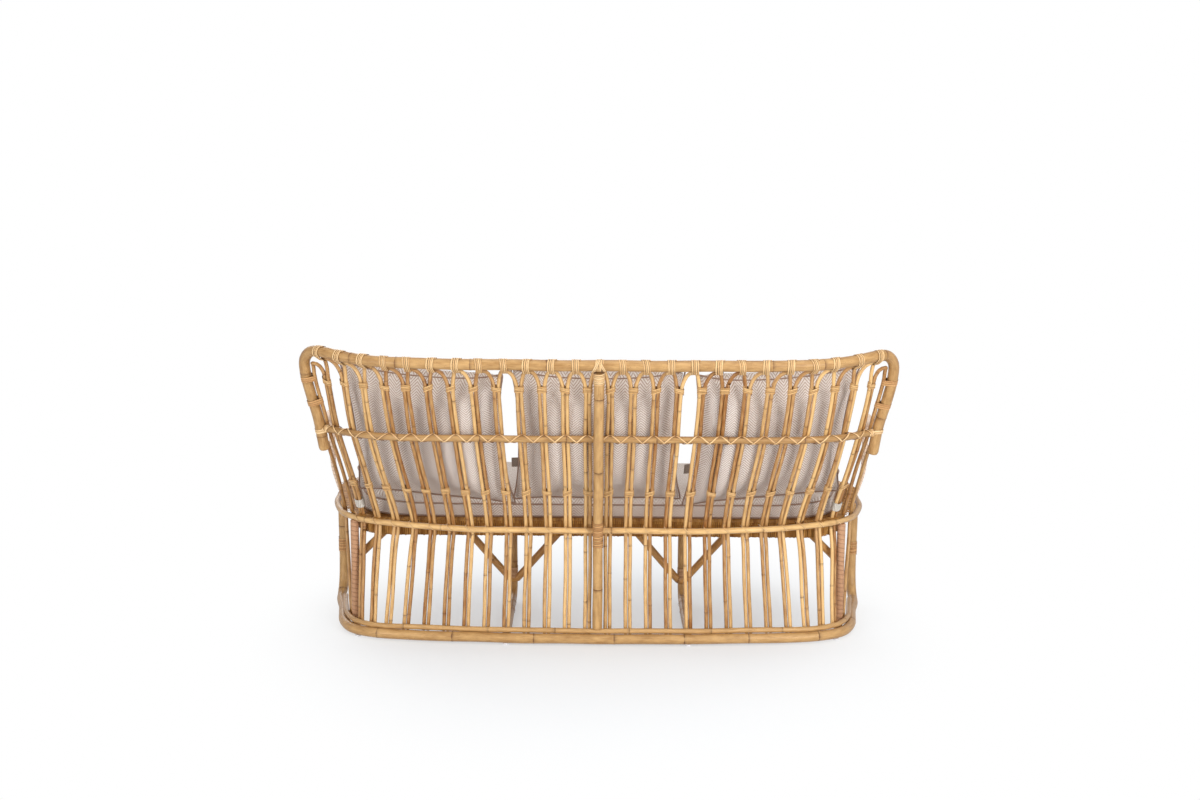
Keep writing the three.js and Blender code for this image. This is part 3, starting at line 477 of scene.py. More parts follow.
def round_pole(name, points, stops, radius, seed, around=14, spacing=0.012, knuckle_gap=(0.2, 0.27),
               swell=0.05, wobble=0.0008, tones=(0.2, 0.5), end=0.002, rings=(), scars=1.0):
    """A round pole with knuckles, its map of metres along and turns round, and its tones."""
    dice = random.Random(seed)
    length = stops[-1]
    knuckles = list(rings)
    place = dice.uniform(0.03, knuckle_gap[1])
    while place < length - 0.02:
        if not rings or place < rings[0] - 0.1 or place > rings[-1] + 0.1:
            knuckles.append(place)
        place += dice.uniform(*knuckle_gap)
    knuckles.sort()
    runs = [*np.arange(0.0, length, spacing), length, end * 0.25, end, length - end * 0.25, length - end]
    for place in knuckles:
        for step in (0.0, 0.0012, 0.0025, 0.005, 0.009):
            runs += [place - step, place + step]
    runs = np.array(sorted({round(min(max(run, 0.0), length), 5) for run in runs}))
    line = at_runs(points, stops, runs)
    across, up = carried_frames(line)
    phase = [dice.uniform(0, 6.28) for _ in range(4)]
    fade = np.minimum(1.0, np.minimum(runs, length - runs) / 0.08)
    line = line + across * (wobble * fade * np.sin(runs * 23 + phase[0]))[:, None]
    line = line + up * (wobble * fade * np.sin(runs * 19 + phase[1]))[:, None]

    # How far each ring is from a knuckle in millimetres, up to 12, its bruise and swelling
    nearest = np.full(len(runs), 12.0)
    bruise = np.zeros(len(runs))
    swelling = np.zeros(len(runs))
    for place in knuckles:
        gap = (runs - place) * 1000.0
        nearest = np.minimum(nearest, np.abs(gap))
        bruise = np.maximum(bruise, np.where((gap > -9.0) & (gap < -0.5), (gap + 9.0) / 8.0, 0.0))
        swelling += swell * np.exp(-(gap / 3.2) ** 2) - swell * 0.5 * np.exp(-((gap - 0.3) / 0.8) ** 2)
    ring_radii = radius * (1.0 + swelling + 0.012 * np.sin(runs * 31 + phase[2]))
    from_end = np.minimum(runs, length - runs)
    ring_radii *= np.where(from_end < end, 0.82 + 0.18 * np.sqrt(np.clip(from_end / end, 0, 1)), 1.0)
    tone_stops = np.array([0.0] + knuckles + [length])
    base = dice.uniform(*tones)
    tone = np.interp(runs, tone_stops, [base + dice.uniform(-0.13, 0.13) for _ in tone_stops])

    turns = np.linspace(0.0, 2 * math.pi, around, endpoint=False)
    cosines, sines = np.cos(turns)[None, :, None], np.sin(turns)[None, :, None]
    sides = cosines * across[:, None, :] + sines * up[:, None, :]
    rows = line[:, None, :] + ring_radii[:, None, None] * sides
    vertices = np.vstack([rows.reshape(-1, 3), line[0], line[-1]])
    faces, maps = swept(runs, [column / around for column in range(around + 1)], "fan", outward=True)

    def per_point(values):
        return np.concatenate([np.repeat(values, around), [values[0], values[-1]]])

    return new_mesh(name, vertices, faces, maps, turn_faces=False, tone=per_point(tone),
                    knuckle=per_point(nearest), bruise=per_point(bruise),
                    scars=scars * dice.choice((0.7, 1.0)), own=dice.random())


def add_piece(name, mesh, material, node=None, smooth=True):
    """Puts a finished mesh in the scene as a piece of the sofa. It may stand for a node."""
    piece = bpy.data.objects.new(name, mesh)
    scene_objects.link(piece)
    mesh.materials.clear()
    mesh.materials.append(material)
    if smooth:
        mesh.polygons.foreach_set("use_smooth", [True] * len(mesh.polygons))
    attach(piece, "root")
    if node:
        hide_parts(node)
    return piece


lines, radii = {}, {}
for seed, name in enumerate(sorted(nodes), start=100):
    kind = next((kind for kind in sorted(pole_radii, key=len, reverse=True) if name.startswith(kind)), None)
    if kind is None:
        continue
    radii[name] = pole_radii[kind] / 1000.0
    found = middle_line(name, radii[name], 8 if kind in eight_sided else 6)
    points, stops = lines[name] = smooth_line(found, 0.004)
    if kind in ("arch_cane", "end_cane"):
        mesh = round_pole(name, points, stops, radii[name], seed, around=12, tones=(-0.05, 0.8),
                          knuckle_gap=(0.14, 0.34), scars=0.85)
        add_piece(name + "_round", mesh, cane_skin, name)
    elif kind not in ("corner_leg", "arm", "arm_post"):
        axis, marks = seen_rings.get(kind, (0, ()))
        rings = sorted(float(stops[int(np.argmin(np.abs(points[:, axis] - mark)))]) for mark in marks)
        mesh = round_pole(name, points, stops, radii[name], seed, around=28 if radii[name] > 0.012 else 18,
                          spacing=0.014, swell=0.03, wobble=0.0006, rings=rings,
                          tones=(0.05, 0.2) if kind == "seat_rail" else (0.2, 0.5),
                          end=0.009 if kind == "top_rail" else 0.003)
        add_piece(name + "_round", mesh, skins.get(kind, pole_skin), name)

# Corner legs and arms: short poles in the rear corners, and the arms with their hairpin
# posts, wound from end to end with pinkish peel.
peel, given = finish_group("peel_strip", ("Pale", "Deep"), ("Turn", "Edge"))
along, around = map_parts(peel, "run")
winding = along * given["Turn"] + around
edge = winding.to("FRACT")
groove_and_shade = given["Turn"].to("GREATER_THAN", 1.0) * (1.0 - edge.to("MINIMUM", 1.0 - edge) * 7.0).clamped()
peel_place = combined(peel, winding * 1.7, around * 3.0, attribute(peel, "own") * 19.0)
mottle = noise(peel, peel_place, 2.1, 3.0, 0.6)
peel_tone = (mottle * 0.9 + (attribute(peel, "tone") - 0.4)).clamped()
body = colour_mix(peel, peel_tone, given["Pale"], given["Deep"])
# Painted shade: the two thin edges of a strip, and the grooves between the turns on a wound pole, are painted
# darker than its face
painted_edge_shade = ((around.to("LESS_THAN", 0.2) + around.to("GREATER_THAN", 0.6)) * given["Edge"]).clamped()
add_node(peel, "NodeGroupOutput", {
    "Colour": colour_mix(peel, (groove_and_shade * 0.4).to("MAXIMUM", painted_edge_shade), body, srgb(112, 68, 38)),
    "Roughness": 0.42 + mottle * 0.2,
    "Height": mottle * 0.3 - groove_and_shade,
})


def peel_finish(name, pale, deep, turns=0.0, edge=1.0, bump=0.0004, coat=0.2):
    """Peel of two tones; a pole wound with it has so many turns to the metre, and edge is the share of
    painted shade on the strip's edges.
    """
    return finish_with(name, peel, bump, coat=coat, Pale=srgb(*pale), Deep=srgb(*deep), Turn=turns, Edge=edge)


# The legs' peel is painted darker than the arms', as painted shade for where they stand under the seat.
wound_leg_painted_shade = peel_finish("wound_leg_painted_shade", (208, 164, 128), (156, 106, 70), 70.0, 0.0, 0.0012, 0.0)
wound_arm = peel_finish("wound_arm", (250, 230, 208), (212, 168, 134), 70.0, 0.0, 0.0012, 0.0)
for seed, name in enumerate(("corner_leg_left", "corner_leg_right", "arm_left", "arm_right",
                             "arm_post_left", "arm_post_right"), start=400):
    mesh = round_pole(name, *lines[name], radii[name], seed, around=28, spacing=0.006,
                      knuckle_gap=(0.17, 0.27), swell=0.0, wobble=0.0, tones=(0.35, 0.4))
    add_piece(name + "_wound", mesh, wound_leg_painted_shade if "leg" in name else wound_arm, name)

# Lashings: strips of pale peel wound tightly round the poles and canes that they hold
# together, in a few close turns. They are laid out once and set at every crossing.
strip = peel_finish("strip", (244, 212, 162), (196, 146, 88), edge=0.9)
cane_strip = peel_finish("cane_strip", (238, 200, 146), (186, 136, 80))
pair_strip = peel_finish("pair_strip", (232, 190, 130), (176, 124, 66))
band_strip = peel_finish("band_strip", (208, 160, 104), (150, 98, 50))
# Radii that a strip lies on, in metres, and how far apart the middles that it ties are
on_top_rail, on_mid_rail, on_seat_rail, on_floor_pole = 0.0166, 0.0108, 0.0098, 0.0157
on_cane, on_wing_cane, on_post, on_brace = 0.0062, 0.0067, 0.0152, 0.0117
rail_to_cane, rail_to_wing_cane, half_pair = 0.0234, 0.0258, 0.0068
x_way, y_way, z_way = np.eye(3)


def outline_round(circles, count=40):
    """An even outline drawn tight round some circles: (x, y, radius)."""
    cloud = set()
    for x, y, radius in circles:
        for step in range(48):
            angle = step / 48 * 2 * math.pi
            cloud.add((x + radius * math.cos(angle), y + radius * math.sin(angle)))
    cloud = sorted(cloud)

    def half(points):
        chain = []
        for point in points:
            while len(chain) > 1 and ((chain[-1][0] - chain[-2][0]) * (point[1] - chain[-2][1])
                                      - (chain[-1][1] - chain[-2][1]) * (point[0] - chain[-2][0])) <= 0:
                chain.pop()
            chain.append(point)
        return chain[:-1]

    hull = np.array(half(cloud) + half(cloud[::-1]))
    closed = np.vstack([hull, hull[:1]])
    run = even_stops(closed)
    return at_runs(closed, run, np.linspace(0.0, run[-1], count, endpoint=False)), run[-1]


def strip_section(shoulder):
    """The cross-section of a strip as shares of its width and its thickness."""
    return ((-0.5, 0.0), (-shoulder, 0.8), (0.0, 1.0), (shoulder, 0.8), (0.5, 0.0))


fifths = [column / 5 for column in range(6)]


def wound_strip(name, circles, turns, width, thick=0.0008, seed=0, lean=0.0, step_share=1.0, twist=0.0):
    """A strip of peel wound round an outline; its turns lie side by side along local Z.
    Lean slants them along local Y, twist along local X."""
    dice = random.Random(seed)
    outline, length = outline_round([(x, y, radius + 0.0003) for x, y, radius in circles])
    count = len(outline)
    normals = np.gradient(np.vstack([outline[-1:], outline, outline[:1]]), axis=0)[1:-1]
    normals = np.stack([normals[:, 1], -normals[:, 0]], axis=1)
    normals /= np.linalg.norm(normals, axis=1)[:, None]
    total = int(count * turns)
    vertices, tones = [], []
    shift = [dice.uniform(-0.12, 0.12) * width for _ in range(int(turns) + 3)]
    lift = [dice.uniform(0.0, 0.35) * thick for _ in range(int(turns) + 3)]
    for index in range(total + 1):
        turn = index / count
        place = outline[index % count]
        normal = normals[index % count]
        low, high = int(turn), int(turn) + 1
        share = turn - low
        slip = shift[low] * (1 - share) + shift[high] * share
        raise_by = lift[low] * (1 - share) + lift[high] * share
        z = (turn - turns / 2) * width * step_share + slip + lean * place[1] + twist * place[0]
        for offset, rise in strip_section(0.42):
            out = place + normal * (rise * thick + raise_by)
            vertices.append((out[0], out[1], z + offset * width))
            tones.append(0.35 + 0.25 * math.sin(turn * 2.4 + seed))
    faces, maps = swept([index * length / count for index in range(total + 1)], fifths)
    return new_mesh(name, vertices, faces, maps, tone=tones, own=dice.random())


def placing_tree(name, extra_inputs, find_points):
    """A Geometry Nodes tree that sets one of a few laid out pieces at each point. Its points,
    their two directions, the size and the tone come from find_points."""
    tree = bpy.data.node_groups.new(name, "GeometryNodeTree")
    inputs = {"Places": "Geometry", "Pieces": "Collection", "Peel": "Material", "Seed": "Int", **extra_inputs}
    for label, kind in inputs.items():
        tree.interface.new_socket(label, in_out="INPUT", socket_type="NodeSocket" + kind)
    tree.interface.new_socket("Whole", in_out="OUTPUT", socket_type="NodeSocketGeometry")
    given = add_node(tree, "NodeGroupInput")
    points, up, outward, size, own = find_points(tree, given)
    align = "FunctionNodeAlignRotationToVector"
    upright = add_node(tree, align, {"Vector": up}, axis="Z")[0]
    turned = add_node(tree, align, {"Rotation": upright, "Vector": outward}, axis="X", pivot_axis="Z")[0]
    choices = add_node(tree, "GeometryNodeCollectionInfo", {
        "Collection": given["Pieces"], "Separate Children": True, "Reset Children": True})[0]
    pick = add_node(tree, "FunctionNodeRandomValue", {4: 0, 5: 50, "Seed": given["Seed"]}, data_type="INT")[2]
    placed = add_node(tree, "GeometryNodeInstanceOnPoints", {
        "Points": points, "Instance": choices, "Pick Instance": True, "Instance Index": pick,
        "Rotation": turned, "Scale": size})[0]
    if own is not None:
        placed = add_node(tree, "GeometryNodeStoreNamedAttribute",
                          {"Geometry": placed, "Name": "own", "Value": own}, domain="INSTANCE")[0]
    whole = add_node(tree, "GeometryNodeRealizeInstances", {"Geometry": placed})[0]
    coated = add_node(tree, "GeometryNodeSetMaterial", {"Geometry": whole, "Material": given["Peel"]})[0]
    add_node(tree, "NodeGroupOutput", {"Whole": coated})
    return tree


def at_crossings(tree, given):
    """The points of a mesh, which carry their directions, each with a length of its own."""
    points = add_node(tree, "GeometryNodeMeshToPoints", {"Mesh": given["Places"]})[0]
    ways = [add_node(tree, "GeometryNodeInputNamedAttribute", {"Name": label}, data_type="FLOAT_VECTOR")[0]
            for label in ("axis", "across")]
    change = add_node(tree, "FunctionNodeRandomValue", {2: -1.0, 3: 1.0, "Seed": given["Seed"]})[1]
    length = add_node(tree, "ShaderNodeMath", {0: change, 1: given["Variation"], 2: 1.0},
                      operation="MULTIPLY_ADD")[0]
    return points, *ways, combined(tree, 1.0, 1.0, length), None


crossings_tree = placing_tree("lashings_at_crossings", {"Variation": "Float"}, at_crossings)


def plain_mesh(carrier, name):
    """The evaluated mesh of an object with live modifiers, on its own."""
    bpy.context.view_layer.update()
    evaluated = carrier.evaluated_get(bpy.context.evaluated_depsgraph_get())
    mesh = bpy.data.meshes.new_from_object(evaluated)
    mesh.name = name
    bpy.data.objects.remove(carrier)
    return mesh


def set_along(carrier, tree, name, variants, material, **settings):
    """The one mesh that a placing tree makes from the carrier and some laid out pieces."""
    choices = bpy.data.collections.new(name + "_laid_out")
    for index, mesh in enumerate(variants):
        choices.objects.link(bpy.data.objects.new(f"{name}_laid_out_{index}", mesh))
    scene_objects.link(carrier)
    modifier = carrier.modifiers.new("pieces", "NODES")
    modifier.node_group = tree
    sockets = {item.name: item.identifier for item in tree.interface.items_tree
               if item.item_type == "SOCKET" and item.in_out == "INPUT"}
    for label, value in {"Pieces": choices, "Peel": material, **settings}.items():
        modifier[sockets[label]] = value
    mesh = plain_mesh(carrier, name)
    for laid in list(choices.objects):
        bpy.data.objects.remove(laid)
    bpy.data.collections.remove(choices)
    return mesh


def lash(name, crossings, variants, material, seed=1, variation=0.06):
    """Lashings at crossings, each (middle, along the wound pole, towards the other)."""
    points = bpy.data.meshes.new(name + "_points")
    points.from_pydata([tuple(place) for place, _, _ in crossings], [], [])
    for label, index in (("axis", 1), ("across", 2)):
        layer = points.attributes.new(label, "FLOAT_VECTOR", "POINT")
        layer.data.foreach_set("vector", np.array([c[index] for c in crossings], dtype=np.float32).ravel())
    carrier = bpy.data.objects.new(name + "_points", points)
    mesh = set_along(carrier, crossings_tree, name, variants, material, Seed=seed, Variation=variation)
    add_piece(name, mesh, material)


def place_at_height(name, height, leg):
    """A point and the upward heading on one leg of a cane ("left" or "right") at a height."""
    points = lines[name][0]
    top = int(np.argmax(points[:, 2]))
    first, last = points[:top + 1], points[top:][::-1]
    if top < 3 or top > len(points) - 4:
        chosen = first if len(first) > len(last) else last
    else:
        lefts = sorted((first, last), key=lambda half: half[:, 0].mean())
        chosen = lefts[0] if leg == "left" else lefts[1]
    index = int(np.argmin(np.abs(chosen[:, 2] - height)))
    index = min(max(index, 2), len(chosen) - 3)
    return chosen[index], unit(chosen[index + 2] - chosen[index - 2])


def nearest_on(name, place):
    points = lines[name][0]
    index = int(np.argmin(np.linalg.norm(points - place, axis=1)))
    index = min(max(index, 2), len(points) - 3)
    return points[index], unit(points[index + 2] - points[index - 2])


def square_to(axis, towards):
    return unit(towards - axis * np.dot(axis, towards))


def crossing_on(name, near, towards=None):
    """A crossing on a pole at its nearest point, turned to that point or a given way."""
    place, heading = nearest_on(name, near)
    return place, heading, square_to(heading, near - place if towards is None else towards)


arches = [f"arch_cane_{index:02d}" for index in range(1, 28)]
pairs = list(zip(arches[:-1], arches[1:]))

# Arch tops: each is lashed to the top rail where it comes nearest to it, and each pair is
# bound under the arches and again above the seat.
apex_crossings = []
for name in arches[1:-1]:
    points = lines[name][0]
    high = points[points[:, 2] > points[:, 2].max() - 0.04]
    gaps = [np.linalg.norm(lines["top_rail"][0] - place, axis=1).min() for place in high]
    apex_crossings.append(crossing_on("top_rail", high[int(np.argmin(gaps))]))
apex_variants = [
    wound_strip(f"apex_{seed}", [(0, 0, on_top_rail), (rail_to_cane, 0, on_cane)], 4.2 + 0.5 * (seed % 2),
                0.0045, thick=0.0013, seed=seed, lean=0.18 * (seed - 1), step_share=1.2)
    for seed in range(3)]
lash("top_rail_lashings", apex_crossings, apex_variants, cane_strip, seed=3)

pair_variants = [
    wound_strip(f"pair_{seed}", [(-half_pair, 0, on_cane), (half_pair, 0, on_cane)], 3.6 + 0.5 * (seed % 2),
                0.005, thick=0.0011, seed=10 + seed, twist=0.3 * (seed - 1), step_share=1.08)
    for seed in range(3)]
upper_height, lower_height = 0.824, 0.487
for label, height, seed in (("upper", upper_height, 5), ("lower", lower_height, 8)):
    crossings = []
    for left, right in pairs:
        a, up_a = place_at_height(left, height, "right")
        b, up_b = place_at_height(right, height, "left")
        axis = unit(up_a + up_b)
        crossings.append(((a + b) / 2, axis, square_to(axis, b - a)))
    lash(f"pair_bindings_{label}", crossings, pair_variants, pair_strip, seed=seed, variation=0.12)

# Mid rail and seat rail: every pair is tied to the mid rail by two strips that run its
# whole length, wound opposite ways, and to the seat rail by one slanting strip.


def rail_crossings(rail_name, height):
    crossings = []
    for left, right in pairs:
        middle = (place_at_height(left, height, "right")[0] + place_at_height(right, height, "left")[0]) / 2
        rail, heading = nearest_on(rail_name, middle)
        heading = -heading if heading[0] < 0 else heading
        crossings.append((rail, heading, square_to(heading, middle - rail)))
    return crossings


def rows_along(spots, headings, outwards, section):
    """Points of a cross-section, (sideways, outward) in metres, carried along some spots."""
    rows = []
    for spot, heading, outward in zip(spots, headings, outwards):
        outward = unit(outward - heading * np.dot(outward, heading))
        sideways = np.cross(heading, outward)
        rows += [spot + sideways * across + outward * out for across, out in section]
    return rows


def slanted_tie(name, slant, seed):
    """A strip round the seat rail and the pair behind it, slanting along the rail."""
    count, rail, width, thick = 40, on_seat_rail, 0.0034, 0.0008
    across_pair = 2 * 0.0069
    loop = []
    for step in range(count):
        angle = step / count * 2 * math.pi
        c, s = math.cos(angle), math.sin(angle)
        grow = (abs(c) ** 2.6 + abs(s) ** 2.6) ** (-1 / 2.6)
        side = (rail + 0.0006) * s * grow
        loop.append(((rail + across_pair + 0.0004) * c * grow + across_pair, side, side * slant))
    loop = np.array(loop)
    ahead = np.roll(loop, -1, axis=0) - np.roll(loop, 1, axis=0)
    ahead /= np.linalg.norm(ahead, axis=1)[:, None]
    outwards = (loop - x_way * across_pair) * (1.0, 1.0, 0.0)
    section = [(offset * width, rise * thick) for offset, rise in strip_section(0.4)]
    faces, maps = swept([step * 0.002 for step in range(count + 1)], fifths, "joined")
    return new_mesh(name, rows_along(loop, ahead, outwards, section), faces, maps,
                    tone=0.3, own=random.Random(seed).random())


def rail_strip(name, way, seed):
    """A strip wound along the mid rail. On its outer side it drops from the top at one pair
    to the bottom before the next, then it goes up behind that pair's canes."""
    points, stops = lines["mid_rail"]
    width, thick, steps = 0.0056, 0.0018, 22
    reach = 0.0005 if way > 0 else 0.0
    dice = random.Random(seed)
    marks = sorted({int(np.argmin(np.linalg.norm(points - place, axis=1))) for place, _, _ in mid_crossings})
    runs = [stops[mark] for mark in marks]
    runs = [runs[0] - 0.05] + runs + [runs[-1] + 0.05]
    line = []
    for first, second in zip(runs[:-1], runs[1:]):
        front_share = 0.68 + dice.uniform(-0.05, 0.05)
        part = []
        for step in range(steps):
            share = step / steps
            if share < front_share:
                angle = math.pi / 2 - math.pi * share / front_share
            else:
                angle = -math.pi / 2 - math.pi * (share - front_share) / (1 - front_share)
            run = first + (second - first) * share if way > 0 else second - (second - first) * share
            before, place, after = at_runs(points, stops, np.array([run - 0.004, run, run + 0.004]))
            outward = unit(np.cross(z_way, after - before))
            outward = -outward if outward[1] < 0 else outward
            behind_canes = max(0.0, -math.cos(angle)) ** 0.6 * 0.0145
            spot = (place + outward * math.cos(angle) * (on_mid_rail + reach + behind_canes)
                    + z_way * math.sin(angle) * (0.0109 + reach))
            part.append((spot, spot - place))
        line += part if way > 0 else part[::-1]
    spots = np.array([spot for spot, _ in line])
    headings = [unit(heading) for heading in np.gradient(spots, axis=0)]
    section = [(offset * width, rise * thick) for offset, rise in strip_section(0.38)]
    vertices = rows_along(spots, headings, [outward for _, outward in line], section)
    faces, maps = swept([index * 0.004 for index in range(len(line))], fifths)
    tones = [0.25 + 0.2 * math.sin(index // 5 * 0.05 + seed) for index in range(len(vertices))]
    return new_mesh(name, vertices, faces, maps, tone=tones, own=dice.random())


mid_rail_height, seat_rail_height = 0.667, 0.364
mid_crossings = rail_crossings("mid_rail", mid_rail_height)
for label, way, seed in (("a", 1, 1), ("b", -1, 2)):
    name = f"mid_rail_strip_{label}"
    add_piece(name, rail_strip(name, way, seed), cane_strip)
seat_variants = [slanted_tie(f"slanted_{seed}", -1.0 - 0.15 * seed, seed) for seed in range(2)]
lash("seat_rail_ties", rail_crossings("seat_rail", seat_rail_height), seat_variants, cane_strip, seed=4,
     variation=0.1)

# Wing bindings: broad smooth bands that hold the last arch to the turned down pole, the
# mid rail's ends, the seat rail's ends and the knees of the front legs.
wing_heights, knee_heights = (0.829, 0.757), (0.345, 0.17, 0.185, 0.2)
leg_x, leg_y = 0.858, rear_pole_y - 0.5


def bind(name, crossings, circles, turns, width, material, seed, variety=1, variation=0.06, **shape):
    """One kind of band, wound round some poles and set at every crossing."""
    band = wound_strip(name + "_band", circles, turns, width, seed=seed, **shape)
    lash(name, crossings, [band], material, seed=variety, variation=variation)


wings, rail_bands, rail_wraps, knees, seat_ends = [], [], [], [], []
for side, leg, arch in ((-1, "left", arches[0]), (1, "right", arches[-1])):
    for height in wing_heights:
        wings.append(crossing_on("top_rail", place_at_height(arch, height, leg)[0]))
    points = lines["mid_rail"][0]
    outermost = points[np.argsort(points[:, 0] * side)[::-1]]
    for step in (1, 3):
        rail_bands.append(crossing_on("mid_rail", outermost[step], -y_way))
    rail_wraps.append(crossing_on("top_rail", outermost[0]))
    for height in knee_heights:
        knees.append(crossing_on("floor_pole", np.array([side * leg_x, leg_y, height]), -side * x_way))
    points = lines["seat_rail"][0]
    half = points[points[:, 0] * side > 0]
    seat_ends.append(crossing_on("seat_rail", half[np.argsort(half[:, 1])[2]], z_way))
bind("wing_bindings", wings, [(0, 0, on_top_rail), (rail_to_wing_cane, 0, on_wing_cane)], 3.0, 0.0062,
     band_strip, 21, variety=6, step_share=0.95)
bind("mid_rail_end_bindings", rail_bands, [(0, 0, on_mid_rail)], 3.0, 0.004, strip, 22, variety=7)
bind("mid_rail_end_wraps", rail_wraps, [(0, 0, 0.0167), (0.02, 0, 0.009)], 3.0, 0.0046, strip, 23, lean=0.35)
bind("knee_bindings", knees, [(0, 0, on_floor_pole)], 3.0, 0.0052, band_strip, 24)
bind("seat_rail_end_bindings", seat_ends, [(0, 0, on_seat_rail)], 4.0, 0.0046, strip, 25)

# Centre post: bound to the top rail with a collar and two slanting straps, and wound
# where it passes the seat rail.
collar_height, wrap_heights = 0.86, (0.330, 0.352, 0.374, 0.396)
strap_aside, strap_slant = 0.0085, 0.55
post_top_y = lines["centre_post"][0][-1][1]
collar = [crossing_on("centre_post", np.array([0.0, post_top_y, collar_height]), x_way)]
bind("post_collar", collar, [(0, 0, on_post)], 7.0, 0.0052, strip, 31)
seat_wraps = [crossing_on("centre_post", np.array([0.0, 0.19, height]), x_way) for height in wrap_heights]
bind("post_seat_wraps", seat_wraps, [(0, 0, on_post)], 3.6, 0.0062, band_strip, 32, variation=0.02)
rail = nearest_on("top_rail", np.array([0.0, rear_pole_y + 0.193, 0.9]))[0]
for side, label in ((-1, "left"), (1, "right")):
    # One strap lies over the other where they cross
    bind(f"post_strap_{label}", [(rail + side * strap_aside * x_way, x_way, -z_way)],
         [(0, 0, 0.017 + 0.0008 * side)], 2.2, 0.0046, strip, 33, variation=0.0, twist=side * strap_slant)

# Brace bindings: peel wound round each inner front leg and the foot of its V brace, a
# hand's width above the floor, and two rings on the leg's runner.
# This peel is painted darker than the lashings' strip, as painted shade under the seat.
shade_strip = peel_finish("shade_strip", (208, 166, 126), (152, 104, 66), edge=0.5, coat=0.0)
brace_height, brace_gap = 0.098, 0.0215
brace_crossings, runner_crossings = [], []
for name in ("front_leg_left", "front_leg_right"):
    points = lines[name][0]
    foot = points[int(np.argmin(np.abs(points[:, 2] - brace_height)))]
    brace_crossings.append(crossing_on(name, foot, y_way))
    for forward in (0.30, 0.39):
        runner = np.array([points[0][0], rear_pole_y - forward, 0.017])
        runner_crossings.append(crossing_on(name, runner, z_way))
bind("brace_bindings", brace_crossings, [(0, 0, on_brace), (brace_gap, 0, 0.0112)], 6.0, 0.006,
     shade_strip, 41)
bind("runner_rings", runner_crossings, [(0, 0, on_brace)], 1.4, 0.003, shade_strip, 42)

# Seat weave: flat strands of peel woven over the seat's poles and turned down side by
# side round their edge. The edge strands are set along the seat's outline.


def object_place(tree):
    return add_node(tree, "ShaderNodeTexCoord")["Object"]


woven, given = finish_group("woven_top", ("Pale", "Deep"), ("Strands",))
parts = add_node(woven, "ShaderNodeSeparateXYZ", {0: object_place(woven)})
strand_x, strand_y = (Wire(woven, parts[axis]) * given["Strands"] for axis in ("X", "Y"))
which = (strand_x.to("FLOOR") + strand_y.to("FLOOR")).to("FLOOR")
over = (which + 1000.0).to("MODULO", 4.0).to("GREATER_THAN", 1.5)
hump_x, hump_y = (1.0 - (way.to("FRACT") * 2.0 - 1.0).to("ABSOLUTE") for way in (strand_x, strand_y))
hump = over * hump_x + (1.0 - over) * hump_y
woven_tone = noise(woven, object_place(woven), 60.0, 3.0, 0.6)
body = colour_mix(woven, woven_tone, given["Pale"], given["Deep"])
# Painted shade: the low edges of each strand, where one meets the next, are painted dark brown.
add_node(woven, "NodeGroupOutput", {
    "Colour": colour_mix(woven, hump.to("LESS_THAN", 0.2), body, srgb(66, 42, 24)),
    "Roughness": 0.45 + woven_tone * 0.2,
    "Height": hump,
})
woven_top = finish_with("woven_top", woven, 0.0012, gloss=0.1,
                        Pale=srgb(178, 124, 58), Deep=srgb(112, 68, 24), Strands=150.0)
nodes["seat_weave"].data.materials.clear()
nodes["seat_weave"].data.materials.append(woven_top)

strand_skin, given = finish_group("strand_skin", ("Pale", "Deep"))
grain = noise(strand_skin, object_place(strand_skin), 45.0, 3.0, 0.6)
strand_tone = (attribute(strand_skin, "own") * 0.6 + (grain - 0.3)).clamped()
add_node(strand_skin, "NodeGroupOutput", {
    "Colour": colour_mix(strand_skin, strand_tone, given["Pale"], given["Deep"]),
    "Roughness": 0.4 + grain * 0.25,
    "Height": grain,
})
strand_peel = finish_with("strand_peel", strand_skin, 0.0004, gloss=0.1,
                          Pale=srgb(206, 154, 84), Deep=srgb(122, 74, 28))

# The seat's plane has its origin at the middle of the rear edge, with -Y forwards
seat_height, seat_rise = 0.374, 4.6
seat_depth, seat_rear_half, seat_front_half, seat_corner = 0.404, 0.742, 0.847, 0.114
seat_frame = (Matrix.Translation((0.0, rear_pole_y - 0.116, seat_height))
              @ Matrix.Rotation(math.radians(-seat_rise), 4, "X"))
corners = [np.array(corner) for corner in (
    (-seat_rear_half, 0.0), (seat_rear_half, 0.0),
    (seat_front_half, -seat_depth), (-seat_front_half, -seat_depth))]
edge_path = []
for index, here in enumerate(corners):
    start = here + unit(corners[index - 1] - here) * seat_corner
    end = here + unit(corners[(index + 1) % 4] - here) * seat_corner
    for t in np.linspace(0.0, 1.0, 12):
        edge_path.append((1 - t) ** 2 * start + 2 * t * (1 - t) * here + t * t * end)
edge_curve = bpy.data.curves.new("seat_edge", "CURVE")
edge_curve.dimensions = "3D"
spline = edge_curve.splines.new("POLY")
spline.points.add(len(edge_path) - 1)
for point, (x, y) in zip(spline.points, edge_path):
    point.co = (*(seat_frame @ Vector((x, y, 0.0))), 1.0)
spline.use_cyclic_u = True


def edge_strand(seed):
    """One strand of peel: up the edge, over its rounded top and a little way inwards."""
    profile = [(-0.004, -0.0585), (0.0006, -0.0592), (0.0012, -0.045), (0.0014, -0.022), (0.0009, -0.004),
               (-0.0012, 0.0006), (-0.009, 0.0014), (-0.03, 0.0012)]
    width, thick = 0.0058, 0.0013
    sway = random.Random(seed).uniform(-0.0006, 0.0006)
    vertices = []
    for index, (out, high) in enumerate(profile):
        near = profile[max(index - 1, 0)]
        far = profile[min(index + 1, len(profile) - 1)]
        heading = unit(np.array([far[0] - near[0], far[1] - near[1]]))
        for side, rise in ((-0.5, 0.0), (-0.32, 1.0), (0.32, 1.0), (0.5, 0.0)):
            vertices.append((out - heading[1] * rise * thick, side * width + sway * math.sin(index * 0.8),
                             high + heading[0] * rise * thick))
    faces, _ = swept(range(len(profile)), range(5))
    return new_mesh(f"edge_strand_{seed}", vertices, faces)


